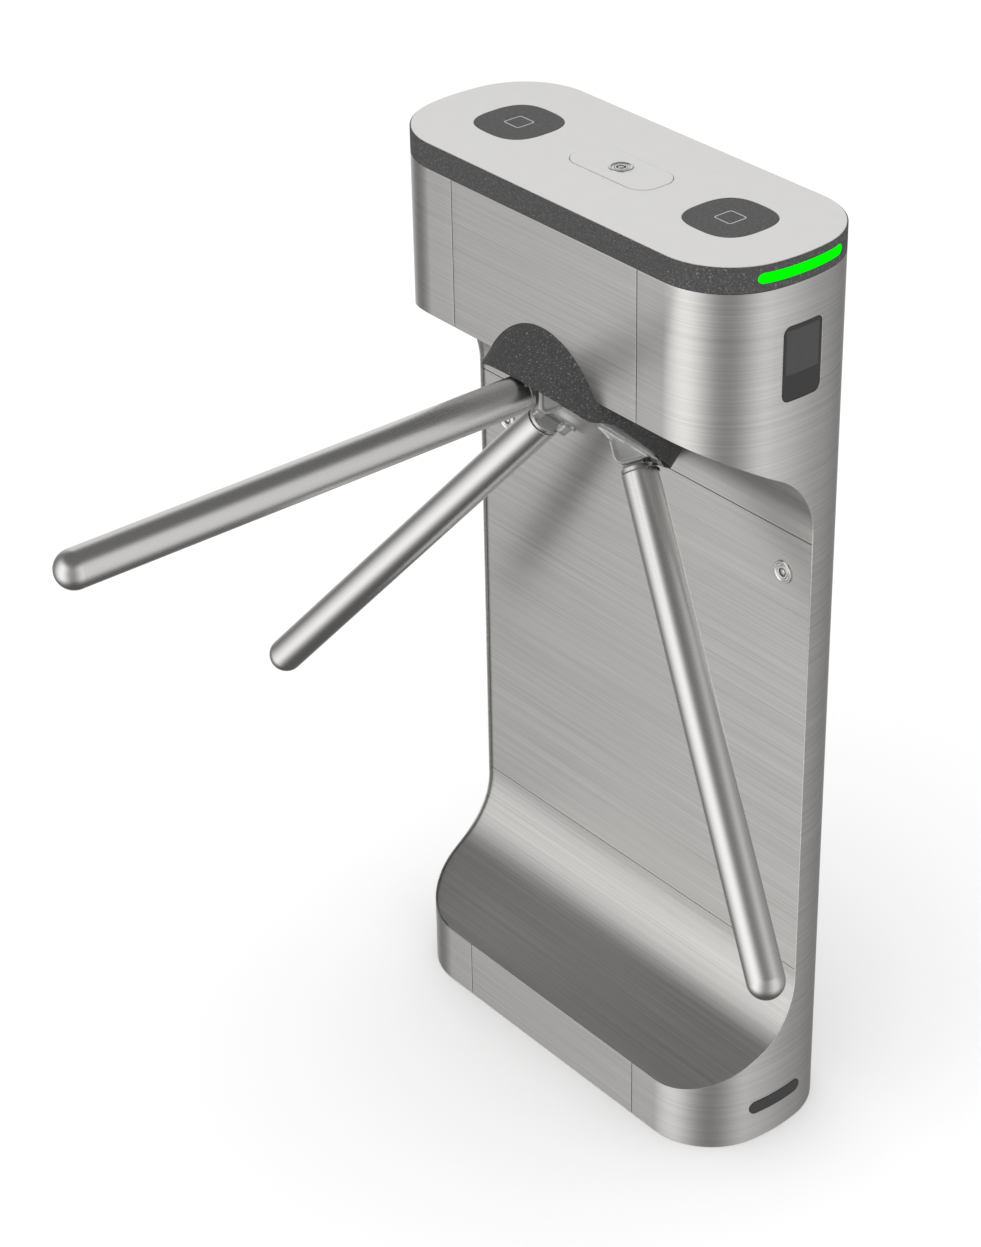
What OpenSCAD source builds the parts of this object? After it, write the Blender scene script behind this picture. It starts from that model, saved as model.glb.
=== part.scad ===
// Tripod turnstile: a slim pedestal with a recessed side and three falling arms on a hub tilted 45 degrees.
// +Z is up, the origin is the centre of the base on the floor, X runs along the walkway and -Y faces the arms.

/* [Pedestal] */
// Overall height
body_h = 1000; // [960:10:1040]
// Length along the walkway
body_l = 496; // [484:2:510]
// Width across the walkway
body_w = 196; // [192:2:204]
// Plan radius of the four corners
corner_r = 78; // [70:1:84]
// Plan radius of the two bowed ends
end_r = 204; // [190:2:220]
// Thickness of the stainless sheet
sheet_t = 1.5; // [1:0.1:2]
// Distance of the panel seams from the middle
seam_x = 133; // [125:1:140]
// Gap at every panel seam
seam_gap = 0.8; // [0.5:0.1:1.2]
// Height of the dark band round the top
band_h = 26; // [22:1:30]

/* [Recess] */
// Depth position of the recess edge on the end shells
recess_y = 22.8; // [18:0.2:24]
// Height of the head's lower front edge below the top
head_h = 181.5; // [175:0.5:190]
// Height of the base's upper front edge
base_h = 67.5; // [60:0.5:75]
// Radius of the fillets at the top and bottom of the recess
recess_r = 87; // [78:1:89]
// Slope of the underside and of the step, in degrees
recess_slope = 28.6; // [26:0.2:31]
// How far the recess panels sit behind the shell edges
lip = 3; // [2:0.5:4]
// Height of the service door
door_h = 499; // [485:2:501]
// Distance of the door's top edge below the opening for the hub shroud
door_drop = 4.53; // [3.5:0.01:8]
// Depth of the door's folded frame
door_depth = 12; // [10:1:14]
// Distance of each door lock from the end of the pedestal
lock_x = 42; // [40:1:44]
// Distance of the door locks below the door's top edge
lock_drop = 45; // [40:1:50]

/* [Hub and arms] */
// Angle of the rotor axis from straight down; arms stand at the angle that keeps the top one level
tilt = 44.2; // [44:0.1:45]
// Height of the point where the arm axes meet, from the top
apex_z = -192.8; // [-199:0.2:-188]
// Depth position of that point
apex_y = -10.6; // [-12:0.2:-9]
// Outside diameter of the arm tube
arm_d = 37.5; // [35:0.5:37.5]
// Wall of the arm tube
arm_wall = 1.5; // [1:0.1:2]
// Distance from the apex to the centre of the round tip
arm_reach = 612; // [580:2:640]
// Distance from the apex to the root of the tube
arm_root = 115.5; // [114:0.5:120]
// Distance from the apex to the pivot pin along the arm
pin_s = 90; // [89:0.5:92]
// Offset of the pivot pin in front of the arm axis
pin_drop = 4; // [3:0.5:5]
// Radius of the pivot pins
pin_r = 4; // [3.5:0.5:5]
// Outside radius of the hub shroud
shroud_r = 104; // [103:0.2:106]
// Wall of the shroud
shroud_t = 2; // [1.5:0.1:2]
// Distance of the shroud's rim from the apex along the rotor axis, over the front
hood_z = 72; // [68:0.5:72]
// Distance of the shroud's rim from the apex along the rotor axis, round the sides
rim_z = 61.5; // [59:0.5:63]
// Distance of the hub's back face from the apex along the rotor axis
hub_z = 56.5; // [55:0.5:58]
// Radius that the hub lobes reach
lobe_reach = 96; // [92:1:98]

/* [Mechanism] */
// Diameter of the main shaft, a 6205 bearing's bore
shaft_d = 25; // [25:1:25.5]
// Outside diameter of a 6205 bearing
bearing_d = 52; // [50:1:54]
// Width of a 6205 bearing
bearing_w = 15; // [14:1:16]
// Thickness of the tilted mechanism plate
plate_t = 8; // [6:1:9]
// Tooth size of the damper gears
gear_module = 2.5; // [2.4:0.1:2.6]
// Radius of the locking disc
disc_r = 60; // [58:1:60]
// Largest radius of the index cam
cam_r = 36; // [34:1:37]
// Height of the cam's lobes
cam_lift = 3; // [2:0.5:4]

/* [Top] */
// Distance of each reader window from the middle
reader_x = 149; // [145:1:152]
// Half width of a reader window
reader_half = 39.5; // [36:0.5:42]
// Length of the service hatch
hatch_l = 113; // [100:1:118]
// Width of the service hatch
hatch_w = 51; // [48:1:54]
// Corner radius of the service hatch
hatch_r = 20; // [16:1:22]
// Thickness of the top plate
top_t = 3; // [2.5:0.5:4]

/* [Ends] */
// Width of each display window
display_w = 47; // [44:1:52]
// Height of each display window
display_h = 75; // [70:1:80]
// Height of the middle of the displays, from the top
display_z = -105; // [-115:1:-95]
// Length of each status light
light_l = 102; // [90:1:110]
// Height of each status light
light_h = 10.5; // [9:0.5:12]
// Height of the status lights above the band's lower edge
light_up = 12.5; // [11:0.5:14]
// Length of the blank name plate
badge_l = 70; // [60:1:76]
// Height of the blank name plate
badge_h = 15; // [12:1:18]
// Height of the middle of the name plate
badge_z = 41.5; // [38:0.5:50]

/* [Floor] */
// Thickness of the base plate
base_t = 8; // [6:1:10]
// Distance between the anchor holes along the walkway
anchor_dx = 340; // [330:2:350]
// Distance between the anchor holes across the walkway
anchor_dy = 120; // [110:2:124]
// Radius of the anchor holes, for M12 anchors
anchor_r = 7; // [6.5:0.5:8]

/* [Hidden] */
$fn = 64;
fit = 0.3;            // gap between pieces that lie against each other
run = 0.05;           // radial clearance of a running fit
arc_n = 12;           // steps of a corner arc in plan
cone = 90 - tilt;     // half angle of the cone that the arms lie on
half_l = body_l / 2;
half_w = body_w / 2;
head_z = body_h - head_h;
band_z = body_h - band_h;
end_cx = half_l - end_r;
corner_cy = half_w - corner_r;
corner_dx = sqrt(pow(end_r - corner_r, 2) - pow(corner_cy, 2));
corner_cx = end_cx + corner_dx;
end_phi = atan2(corner_cy, corner_dx);
fillet_rise = recess_r * (1 - sin(recess_slope)) / cos(recess_slope) + (recess_y + half_w) * tan(recess_slope);
fillet_top_z = head_z - fillet_rise;
fillet_low_z = base_h + fillet_rise;
door_y = recess_y + lip;
apex_h = body_h + apex_z;
display_mid_z = body_h + display_z;
// Lowest point of the opening that the shroud needs in the plane of the door
shroud_low_z = apex_h + ((door_y - apex_y) * cos(tilt) - shroud_r - fit) / sin(tilt);
door_top = shroud_low_z - door_drop;
door_low = door_top - door_h;
door_mid_z = (door_top + door_low) / 2;
lock_z = door_top - lock_drop;
lock_r = 9;
post_w = 40;
post_gap = 58;        // distance of the uprights from the ends of the pedestal
post_in = half_l - post_gap - post_w;
post_y = 44;
post_back = half_w - sheet_t - 2.5;
post_t = 3;
post_top = band_z - 9;
keeper_y = door_y + door_depth - 0.8;
arm_r = arm_d / 2;
ear_in = 11;
ear_out = arm_r;
knuckle_r = 13;
tongue_w = ear_in - fit;
hub_t = 8;
plate_back = -plate_t;
plate_low = 95;       // reach of the mechanism plate below the shaft, along its own plane
plate_high = 108;     // and above it
board_l = 150;        // control board, on spacers from the back panel
board_h = 100;
board_t = 1.6;
board_edge = 10;
board_x = -110;
board_y = post_back - post_t - 10;
board_up = 119;       // its lower edge above the middle of the door
supply_l = 120;       // power supply, on the base plate
supply_d = 38;
supply_h = 70;
supply_x = -100;
gear_teeth = 48;
pinion_teeth = 12;
notch_count = 12;
gear_r = gear_module * gear_teeth / 2;
pinion_r = gear_module * pinion_teeth / 2;
gear_mid = gear_r + pinion_r;
gear_z = plate_back - 12;
gear_w = 8;
cam_z = gear_z - 14;
cam_w = 10;
disc_z = cam_z - 14;
disc_w = 6;
encoder_z = disc_z - 12;
shaft_back = encoder_z - 8;
housing_r = 34;
housing_front = 38;
hood_x = shroud_r * sin(48);
hood_end_x = shroud_r * sin(65);
floor_z = 27;
roller_r = 9;
roller_y = -(cam_r + roller_r + 0.6);
lever_x = -48;
lever_y = roller_y - 12;
post_r = 7;
pawl_x = disc_r + 14;
pawl_y = 45;
pawl_tail = 16;
shaft_r = shaft_d / 2;
hatch_hinge_y = hatch_w / 2 - 17.5;
hatch_hinge_z = body_h - 1.4;
hatch_pin_r = 1;
hatch_pin_x = hatch_l / 2 + 2.5;
hatch_cam = 12;
steel = [0.66, 0.65, 0.63];
dark = [0.27, 0.27, 0.27];
zinc = [0.55, 0.56, 0.57];

// Outlines

// Closed plan outline of the pedestal, drawn in by d
function plan_quarter(d) = concat(
    [for (i = [0:arc_n]) let (t = 90 - (90 - end_phi) * i / arc_n)
        [corner_cx + (corner_r - d) * cos(t), corner_cy + (corner_r - d) * sin(t)]],
    [for (i = [1:arc_n - 1]) let (t = end_phi - 2 * end_phi * i / arc_n)
        [end_cx + (end_r - d) * cos(t), (end_r - d) * sin(t)]],
    [for (i = [arc_n:-1:0]) let (t = 90 - (90 - end_phi) * i / arc_n)
        [corner_cx + (corner_r - d) * cos(t), -corner_cy - (corner_r - d) * sin(t)]]);
function plan_pts(d) = concat(plan_quarter(d), [for (p = plan_quarter(d)) -p]);

// Half length of the plan outline at depth y, drawn in by d
function plan_x(y, d) = abs(y) < (end_r - d) * sin(end_phi)
    ? end_cx + sqrt(pow(end_r - d, 2) - y * y)
    : corner_cx + sqrt(pow(corner_r - d, 2) - pow(abs(y) - corner_cy, 2));

// Side profile of the recess as [y, z], pushed into the body by d; side is 1 under the head and -1 on the step
function recess_half(d, side) = let (
    z = side > 0 ? fillet_top_z : fillet_low_z,
    n = 8,
    arc = [for (i = [0:n]) let (t = (90 - recess_slope) * i / n)
        [recess_y - recess_r + (recess_r + d) * cos(t), z + side * (recess_r + d) * sin(t)]],
    end = arc[n],
    out = -half_w - 40)
    concat(arc, [[out, end[1] + side * (end[0] - out) * tan(recess_slope)]]);
function backwards(v) = [for (i = [len(v) - 1:-1:0]) v[i]];
function recess_pts(d) = concat(backwards(recess_half(d, -1)), recess_half(d, 1));

// Rectangle w by h with corner radius r, and a square with bulged sides
function round_rect(w, h, r) = [for (c = [0:3]) for (i = [0:8]) let (t = 90 * c + 90 * i / 8)
    [((c == 1 || c == 2) ? -1 : 1) * (w / 2 - r) + r * cos(t), (c > 1 ? -1 : 1) * (h / 2 - r) + r * sin(t)]];
function squircle(h) = [for (i = [0:55]) let (t = 360 * i / 56, e = 2 / 2.8)
    [h * sign(cos(t)) * pow(abs(cos(t)), e), h * sign(sin(t)) * pow(abs(sin(t)), e)]];

// Gear outline with straight-flanked teeth, one tooth centred on +X
function gear_pts(teeth, m, play) = [for (i = [0:teeth - 1]) for (c = [[-0.26, -1.2], [-0.13, 0.9], [0.13, 0.9],
    [0.26, -1.2]]) let (r = m * teeth / 2 + m * c[1], t = 360 * (i + c[0] * (1 - play)) / teeth)
    [r * cos(t), r * sin(t)]];

module plan(d, z0, z1) {
    translate([0, 0, z0]) linear_extrude(z1 - z0) polygon(plan_pts(d));
}

// Extrudes a [y, z] drawing from x0 to x1
module along_x(x0, x1) {
    translate([x0, 0, 0]) rotate([90, 0, 90]) linear_extrude(x1 - x0) children();
}

// Extrudes a [y, z] drawing through one end; end is 1 near and -1 far
module through_end(end) {
    along_x(end > 0 ? half_l - 40 : -half_l - 10, end > 0 ? half_l + 10 : -half_l + 40) children();
}

module rod(r, z0, z1) {
    translate([0, 0, z0]) cylinder(r = r, h = z1 - z0);
}

module ring(r_out, r_in, z0, z1) {
    difference() {
        rod(r_out, z0, z1);
        rod(r_in, z0 - 1, z1 + 1);
    }
}

// Rotor frame: Z points down and outwards along the rotor axis, Y up and outwards
module rotor_frame() {
    translate([0, apex_y, apex_h]) rotate([180 - tilt, 0, 0]) children();
}

// Arm frame of arm k in the rotor frame: Z along the arm, X along its pivot pin, Y towards the head
module arm_frame(k) {
    rotate([0, 0, -120 * k]) rotate([-cone, 0, 0]) children();
}

// Pedestal

module base_plate() color(zinc) difference() {
    plan(sheet_t + fit, 0, base_t);
    for (x = [-1, 1], y = [-1, 1]) translate([x * anchor_dx / 2, y * anchor_dy / 2, -1])
        cylinder(r = anchor_r, h = base_t + 2);
    rod(20, -1, base_t + 1);
}

// Folded upright, whose back flange stops short of the shell's round corner
module upright(side) {
    out = post_in + post_w;
    back_out = min(out, plan_x(post_back, sheet_t + 2 * fit));
    mirror([side > 0 ? 0 : 1, 0, 0]) translate([0, 0, base_t]) linear_extrude(post_top - base_t) polygon([
        [post_in, post_y], [out, post_y], [out, post_y + post_t],
        [post_in + post_t, post_y + post_t], [post_in + post_t, post_back - post_t],
        [back_out, post_back - post_t], [back_out, post_back], [post_in, post_back]]);
}

// Hooked plate that a door lock's cam turns behind
module keeper(side) {
    mirror([side > 0 ? 0 : 1, 0, 0]) translate([half_l - lock_x - 20, 0, lock_z]) {
        translate([0, post_y - 7, 10]) cube([8, 7 + post_t, 4]);
        translate([0, post_y - 7, -4]) cube([8, 2, 18]);
    }
}

module frame() color(zinc) union() {
    for (side = [-1, 1]) {
        upright(side);
        keeper(side);
    }
    for (z = [base_t, door_mid_z, post_top - 30]) translate([-post_in - 1, post_back - post_t, z])
        cube([2 * post_in + 2, post_t, 30]);
}

// Shell over one end, from the floor to the band, cut away along the recess
module end_shell(end) color(steel) difference() {
    plan(0, 0, band_z - seam_gap / 2);
    plan(sheet_t, -1, band_z + 1);
    translate([end > 0 ? -body_l : -seam_x - seam_gap / 2, -body_w, -1])
        cube([body_l + seam_x + seam_gap / 2, 2 * body_w, body_h]);
    along_x(-body_l, body_l) polygon(recess_pts(0));
    through_end(end) translate([0, display_mid_z])
        polygon(round_rect(display_w + 2 * fit, display_h + 2 * fit, 8));
}

module near_end_shell() end_shell(1);

module far_end_shell() end_shell(-1);

module back_panel() color(steel)
    translate([-seam_x + seam_gap / 2, half_w - sheet_t, 0])
        cube([2 * seam_x - seam_gap, sheet_t, band_z - seam_gap / 2]);

module head_front_panel() color(steel) difference() {
    translate([-seam_x + seam_gap / 2, -half_w, head_z])
        cube([2 * seam_x - seam_gap, sheet_t, band_z - seam_gap / 2 - head_z]);
    rotor_frame() rod(shroud_r + fit, -80, 160);
}

// Folded sheet that lines the recess between two heights
module recess_sheet(z0, z1) {
    intersection() {
        along_x(-half_l, half_l) intersection() {
            difference() {
                polygon(recess_pts(lip + sheet_t));
                polygon(recess_pts(lip));
            }
            translate([-half_w + sheet_t + fit, z0]) square([body_w, z1 - z0]);
        }
        plan(sheet_t + fit, 0, body_h);
    }
}

module head_underside_panel() color(steel) difference() {
    flange_x = plan_x(door_y + door_depth, sheet_t) - 2;
    union() {
        recess_sheet(door_top + seam_gap / 2, body_h);
        translate([-flange_x, door_y, door_top + seam_gap / 2]) cube([2 * flange_x, door_depth, sheet_t]);
    }
    rotor_frame() rod(shroud_r + fit, -80, 160);
}

module step_panel() color(steel) recess_sheet(0, door_low - seam_gap / 2);

module base_front_panel() color(steel)
    translate([-seam_x + seam_gap / 2, -half_w, 0]) cube([2 * seam_x - seam_gap, sheet_t, base_h]);

module service_door() color(steel) difference() {
    z0 = door_low + seam_gap / 2;
    z1 = door_top - seam_gap / 2;
    face_x = plan_x(door_y + sheet_t, sheet_t) - fit;
    fold_x = plan_x(door_y + door_depth, sheet_t) - 2;
    union() {
        translate([-face_x, door_y, z0]) cube([2 * face_x, sheet_t, z1 - z0]);
        difference() {
            translate([-fold_x, door_y, z0]) cube([2 * fold_x, door_depth, z1 - z0]);
            translate([-fold_x + sheet_t, door_y - 1, z0 + sheet_t])
                cube([2 * (fold_x - sheet_t), door_depth + 2, z1 - z0 - 2 * sheet_t]);
        }
    }
    for (side = [-1, 1]) translate([side * (half_l - lock_x), door_y - 1, lock_z]) rotate([-90, 0, 0])
        cylinder(r = lock_r + run, h = door_depth);
}

module name_plate() color(dark) intersection() {
    difference() {
        plan(-1, badge_z - badge_h, badge_z + badge_h);
        plan(0, 0, body_h);
    }
    through_end(1) translate([0, badge_z]) polygon(round_rect(badge_l, badge_h, badge_h / 2 - 0.01));
}

// Locks

module lock_body(r) {
    difference() {
        union() {
            rod(r + 3, -2, 0);
            rod(r, -1, 11);
        }
        rod(r - 2.5, -3, 12);
    }
}

// Key plug with its slot, and the cam that it turns
module key_plug(r, cam_at, cam_l) {
    difference() {
        union() {
            rod(r - 2.5 - run, -1.6, 11);
            rod(4, 10, cam_at + 3);
        }
        translate([-0.8, -3.2, -2]) cube([1.6, 6.4, 6]);
    }
    translate([-5, -5, cam_at]) cube([cam_l + 5, 10, 3]);
}

module door_lock(side) {
    translate([side * (half_l - lock_x), door_y, lock_z]) rotate([-90, 0, 0])
        mirror([side > 0 ? 1 : 0, 0, 0]) children();
}

module door_lock_bodies() color("silver") for (side = [-1, 1]) door_lock(side) lock_body(lock_r);

module door_key_plug(side) color("silver") door_lock(side) key_plug(lock_r, post_y - 4 - door_y, 20);

module door_key_plug_near() door_key_plug(1);

module door_key_plug_far() door_key_plug(-1);

// Top

module top_ring() color(dark) difference() {
    plan(0, band_z, body_h);
    plan(2.5, body_h - top_t - fit, body_h + 1);
    plan(12, band_z - 1, body_h + 1);
    plan(2.5, band_z + 4, body_h - top_t - 4);
    for (end = [-1, 1]) through_end(end) translate([0, band_z + light_up])
        polygon(round_rect(light_l + 2 * fit, light_h + 2 * fit, light_h / 2 + fit - 0.01));
}

module top_plate() color([0.84, 0.83, 0.82]) difference() {
    union() {
        plan(2.5 + fit, body_h - top_t, body_h);
        translate([-8, -hatch_w / 2 - 8, body_h - hatch_cam + fit]) cube([16, 6, hatch_cam - fit - top_t / 2]);
    }
    for (side = [-1, 1]) translate([side * reader_x, 0, body_h - top_t - 1]) linear_extrude(top_t + 2)
        polygon(squircle(reader_half + fit));
    translate([0, 0, body_h - top_t - 1]) linear_extrude(top_t + 2)
        polygon(round_rect(hatch_l + 1.4, hatch_w + 1.4, hatch_r + 0.7));
    hatch_pins(hatch_pin_r + run, hatch_pin_x + fit);
}

// Pins that the lid turns on, through its ends and into the plate's edge
module hatch_pins(r, x) {
    translate([-x, hatch_hinge_y, hatch_hinge_z]) rotate([0, 90, 0]) cylinder(r = r, h = 2 * x);
}

// Lid that swings up on two pins set into the plate's edge
module service_hatch() color([0.84, 0.83, 0.82]) difference() {
    union() {
        translate([0, 0, body_h - 2.5]) linear_extrude(2.5) polygon(round_rect(hatch_l, hatch_w, hatch_r));
        hatch_pins(hatch_pin_r, hatch_pin_x);
    }
    rod(lock_r + run, body_h - 5, body_h + 1);
}

module hatch_lock(z) {
    translate([0, 0, z]) rotate([180, 0, 0]) children();
}

module hatch_lock_body() color("silver") hatch_lock(body_h) lock_body(lock_r);

module hatch_key_plug() color("silver") hatch_lock(body_h) key_plug(lock_r, hatch_cam, hatch_w / 2 + 6);

module reader_window(side) color(dark) translate([side * reader_x, 0, body_h - top_t])
    linear_extrude(top_t) polygon(squircle(reader_half));

module reader_window_near() reader_window(1);

module reader_window_far() reader_window(-1);

module reader_boards() color("seagreen") for (side = [-1, 1]) translate([side * reader_x, 0, body_h - top_t - 5]) {
    translate([-38, -38, 0]) cube([76, 76, 1.6]);
    for (x = [-1, 1], y = [-1, 1]) translate([x * 24, y * 24, 1.6]) cylinder(r = 3, h = 3.4 - fit / 2);
}

module status_light(end) color([0.1, 0.95, 0.15]) intersection() {
    difference() {
        plan(0, band_z, body_h);
        plan(3.5, band_z - 1, body_h + 1);
    }
    through_end(end) translate([0, band_z + light_up]) polygon(round_rect(light_l, light_h, light_h / 2 - 0.01));
}

module status_light_near() status_light(1);

module status_light_far() status_light(-1);

module display_window(end) color([0.2, 0.2, 0.2]) intersection() {
    difference() {
        plan(0, display_mid_z - display_h, band_z - 1);
        plan(3, 0, body_h);
    }
    through_end(end) translate([0, display_mid_z]) polygon(round_rect(display_w, display_h, 8));
}

module display_window_near() display_window(1);

module display_window_far() display_window(-1);

module display_boards() color("seagreen") for (end = [-1, 1]) {
    translate([end * (half_l - 7) - 1, -30, display_mid_z - 40]) cube([2, 60, 80]);
    for (z = [-1, 1]) translate([end * (half_l - 7) - 1 + end * 2, -18, display_mid_z + z * 28 - 4])
        cube([2, 36, 8]);
}

// Hub

// Front outline of the shroud's rim as [x, z], high in the middle and falling to the sides in an S-curve
function rim_side() = [for (i = [0:8]) [hood_x + (hood_end_x - hood_x) * i / 8,
    rim_z + (hood_z - rim_z) * (1 + cos(180 * i / 8)) / 2]];
function rim_pts() = concat([for (p = rim_side()) p], [[hood_end_x, rim_z - 2], [-hood_end_x, rim_z - 2]],
    [for (p = backwards(rim_side())) [-p[0], p[1]]]);

// Dark cup round the hub, open to the front, that fills the round opening in the head
module hub_shroud() color(dark) rotor_frame() union() {
    ring(shroud_r, shroud_r - shroud_t, 0, rim_z);
    ring(shroud_r - 1, housing_r + fit, floor_z, floor_z + shroud_t);
    intersection() {
        ring(shroud_r, shroud_r - shroud_t, rim_z - 1, hood_z);
        translate([0, shroud_r + 2, 0]) rotate([90, 0, 0]) linear_extrude(shroud_r) polygon(rim_pts());
    }
}

// Three-lobed casting with a pair of ears for each arm
module hub() color(zinc) rotor_frame() difference() {
    union() {
        rod(28, housing_front + 4, hub_z + 1);
        rod(62, hub_z, hub_z + hub_t);
        for (k = [0:2]) rotate([0, 0, 90 - 120 * k]) translate([lobe_reach - 30, 0, hub_z]) cylinder(r = 30, h = hub_t);
        translate([0, 0, hub_z + hub_t]) cylinder(r1 = 40, r2 = 16, h = 17);
        for (k = [0:2]) arm_frame(k) for (side = [-1, 1])
            translate([side > 0 ? ear_in : -ear_out, 0, 0]) ear();
    }
    for (k = [0:2]) {
        arm_frame(k) translate([-ear_out - 1, -pin_drop, pin_s]) rotate([0, 90, 0])
            cylinder(r = pin_r, h = 2 * ear_out + 2);
        arm_frame(k) translate([-ear_in, -60, pin_s - knuckle_r - 2]) cube([2 * ear_in, 76, 60]);
    }
    rod(shaft_r + run, 0, hub_z + 12);
    rod(4.2, hub_z, hub_z + 60);
    rod(9, hub_z + 17, hub_z + 60);
}

// Point of the rotor frame's YZ plane as [y, z] in the frame of an arm
function on_arm(y, z) = [y * cos(cone) - z * sin(cone), y * sin(cone) + z * cos(cone)];

// One ear, drawn in the plane square to the pin and rooted in the hub's plate
module ear() {
    rotate([90, 0, 90]) linear_extrude(ear_out - ear_in) polygon(concat(
        [for (i = [0:8]) let (t = 180 - 110 * i / 8) [-pin_drop + knuckle_r * cos(t), pin_s + knuckle_r * sin(t)]],
        [on_arm(lobe_reach - 11, hub_z + hub_t - 1), on_arm(lobe_reach - 11, hub_z + 1), on_arm(22, hub_z + 1),
            [-pin_drop - 26, pin_s - 23], [-pin_drop - knuckle_r - 2, pin_s - 14]]));
}

module hub_bolt() color("silver") rotor_frame() union() {
    rod(4, housing_front + 6, hub_z + 18);
    rod(8, hub_z + 17.2, hub_z + 23);
}

module main_shaft() color("silver") rotor_frame() difference() {
    union() {
        rod(shaft_r, shaft_back, hub_z + 11.8);
        rod(shaft_r + 4, plate_back - 4, plate_back - 2.4);
    }
    rod(4 + fit, housing_front + 4, hub_z + 30);
}

module bearing_housing() color(zinc) rotor_frame() difference() {
    union() {
        rod(housing_r, plate_back - 2, housing_front);
        rod(housing_r + 24, 0, 8);
    }
    rod(bearing_d / 2 - 4, plate_back - 3, housing_front + 1);
    rod(bearing_d / 2, housing_front - bearing_w - 1, housing_front + 1);
    rod(bearing_d / 2, plate_back - 3, plate_back - 2 + bearing_w);
    for (i = [0:5]) rotate([0, 0, 60 * i + 30]) translate([housing_r + 15, 0, -1]) cylinder(r = 3.3, h = 10);
}

module bearing(z) rotor_frame() difference() {
    ring(bearing_d / 2, shaft_r + run, z, z + bearing_w);
    for (face = [z - 1, z + bearing_w - 1]) ring(bearing_d / 2 - 4, shaft_r + 4, face, face + 2);
}

module bearings() color("silver") {
    bearing(housing_front - bearing_w - 1);
    bearing(plate_back - 2);
}

// Mechanism

module mechanism_plate() color(zinc) rotor_frame() difference() {
    union() {
        translate([-post_in, -plate_low, plate_back]) cube([2 * post_in, plate_low + plate_high, plate_t]);
        for (side = [-1, 1]) translate([side > 0 ? post_in - 4 : -post_in, -100, plate_back - 34])
            cube([4, 60, 35]);
    }
    rod(housing_r + fit, plate_back - 1, 1);
    for (i = [0:5]) rotate([0, 0, 60 * i + 30]) translate([housing_r + 15, 0, plate_back - 1])
        cylinder(r = 3.3, h = plate_t + 2);
    translate([0, gear_mid, plate_back - 1]) cylinder(r = 5, h = plate_t + 2);
}

module mechanism_bolts() color("silver") rotor_frame() for (i = [0:5])
    rotate([0, 0, 60 * i + 30]) translate([housing_r + 15, 0, 0]) {
        rod(3, plate_back - 2, 8);
        rod(6, 8, 12);
    }

module drive_gear() color("tan") rotor_frame() difference() {
    translate([0, 0, gear_z]) linear_extrude(gear_w) rotate([0, 0, 90]) polygon(gear_pts(gear_teeth, gear_module, 0.2));
    rod(shaft_r, gear_z - 1, gear_z + gear_w + 1);
}

module damper_pinion() color("silver") rotor_frame() translate([0, gear_mid, 0]) {
    translate([0, 0, gear_z]) linear_extrude(gear_w) rotate([0, 0, 90 + 180 / pinion_teeth])
        polygon(gear_pts(pinion_teeth, gear_module, 0.2));
    rod(4, gear_z + gear_w, 6);
}

module damper() color([0.2, 0.2, 0.22]) rotor_frame() translate([0, gear_mid, 0]) {
    difference() {
        rod(15, 0, 20);
        rod(4 + run, -1, 8);
    }
}

module index_cam() color("silver") rotor_frame() difference() {
    translate([0, 0, cam_z]) linear_extrude(cam_w) polygon([for (i = [0:71]) let (t = 5 * i,
        r = cam_r - cam_lift / 2 * (1 + cos(3 * (t + 90)))) [r * cos(t), r * sin(t)]]);
    rod(shaft_r, cam_z - 1, cam_z + cam_w + 1);
}

module locking_disc() color("silver") rotor_frame() difference() {
    rod(disc_r, disc_z, disc_z + disc_w);
    rod(shaft_r, disc_z - 1, disc_z + disc_w + 1);
    for (i = [0:notch_count - 1]) rotate([0, 0, 360 / notch_count * i])
        translate([disc_r - 8, -6, disc_z - 1]) cube([20, 12, disc_w + 2]);
}

module encoder_disc() color("gray") rotor_frame() difference() {
    rod(30, encoder_z, encoder_z + 2);
    rod(shaft_r, encoder_z - 1, encoder_z + 3);
    for (i = [0:11]) rotate([0, 0, 30 * i]) translate([22, -2, encoder_z - 1]) cube([5, 4, 4]);
}

// Two jaws over the rim of the encoder disc, on a post from the plate
module encoder_sensor() color("seagreen") rotor_frame() {
    post_x = gear_r + 8;
    translate([post_x, -36, encoder_z - 6]) cube([6, 12, plate_back - encoder_z + 6]);
    for (z = [encoder_z - 6, encoder_z + 4]) translate([14, -36, z]) cube([post_x - 13, 12, 4]);
}

// Posts that the pawls and the follower lever turn on
module pawl_pivots() color("silver") rotor_frame() {
    for (side = [-1, 1]) translate([side * pawl_x, pawl_y, 0]) {
        rod(post_r, disc_z + disc_w + fit, plate_back);
        rod(4, disc_z - 4, disc_z + disc_w + 1);
    }
    translate([lever_x, lever_y, 0]) {
        rod(post_r, cam_z + cam_w + fit, plate_back);
        rod(4, cam_z - 3, cam_z + cam_w + 1);
    }
}

// Pawl with its nose beside a notch of the locking disc and a tail under the plunger
module pawl(side) color([0.5, 0.5, 0.52]) rotor_frame() mirror([side > 0 ? 0 : 1, 0, 0]) difference() {
    union() {
        translate([pawl_x, pawl_y, disc_z]) cylinder(r = 8, h = disc_w);
        translate([pawl_x - 4, -3.5, disc_z]) cube([9, pawl_y, disc_w]);
        translate([disc_r + 1, -3.3, disc_z]) cube([pawl_x - disc_r, 4, disc_w]);
        translate([pawl_x, pawl_y - 3, disc_z]) cube([pawl_tail + 4, 6, disc_w]);
    }
    translate([pawl_x, pawl_y, disc_z - 1]) cylinder(r = 4 + run, h = disc_w + 2);
}

module entry_pawl() pawl(1);

module exit_pawl() pawl(-1);

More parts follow.
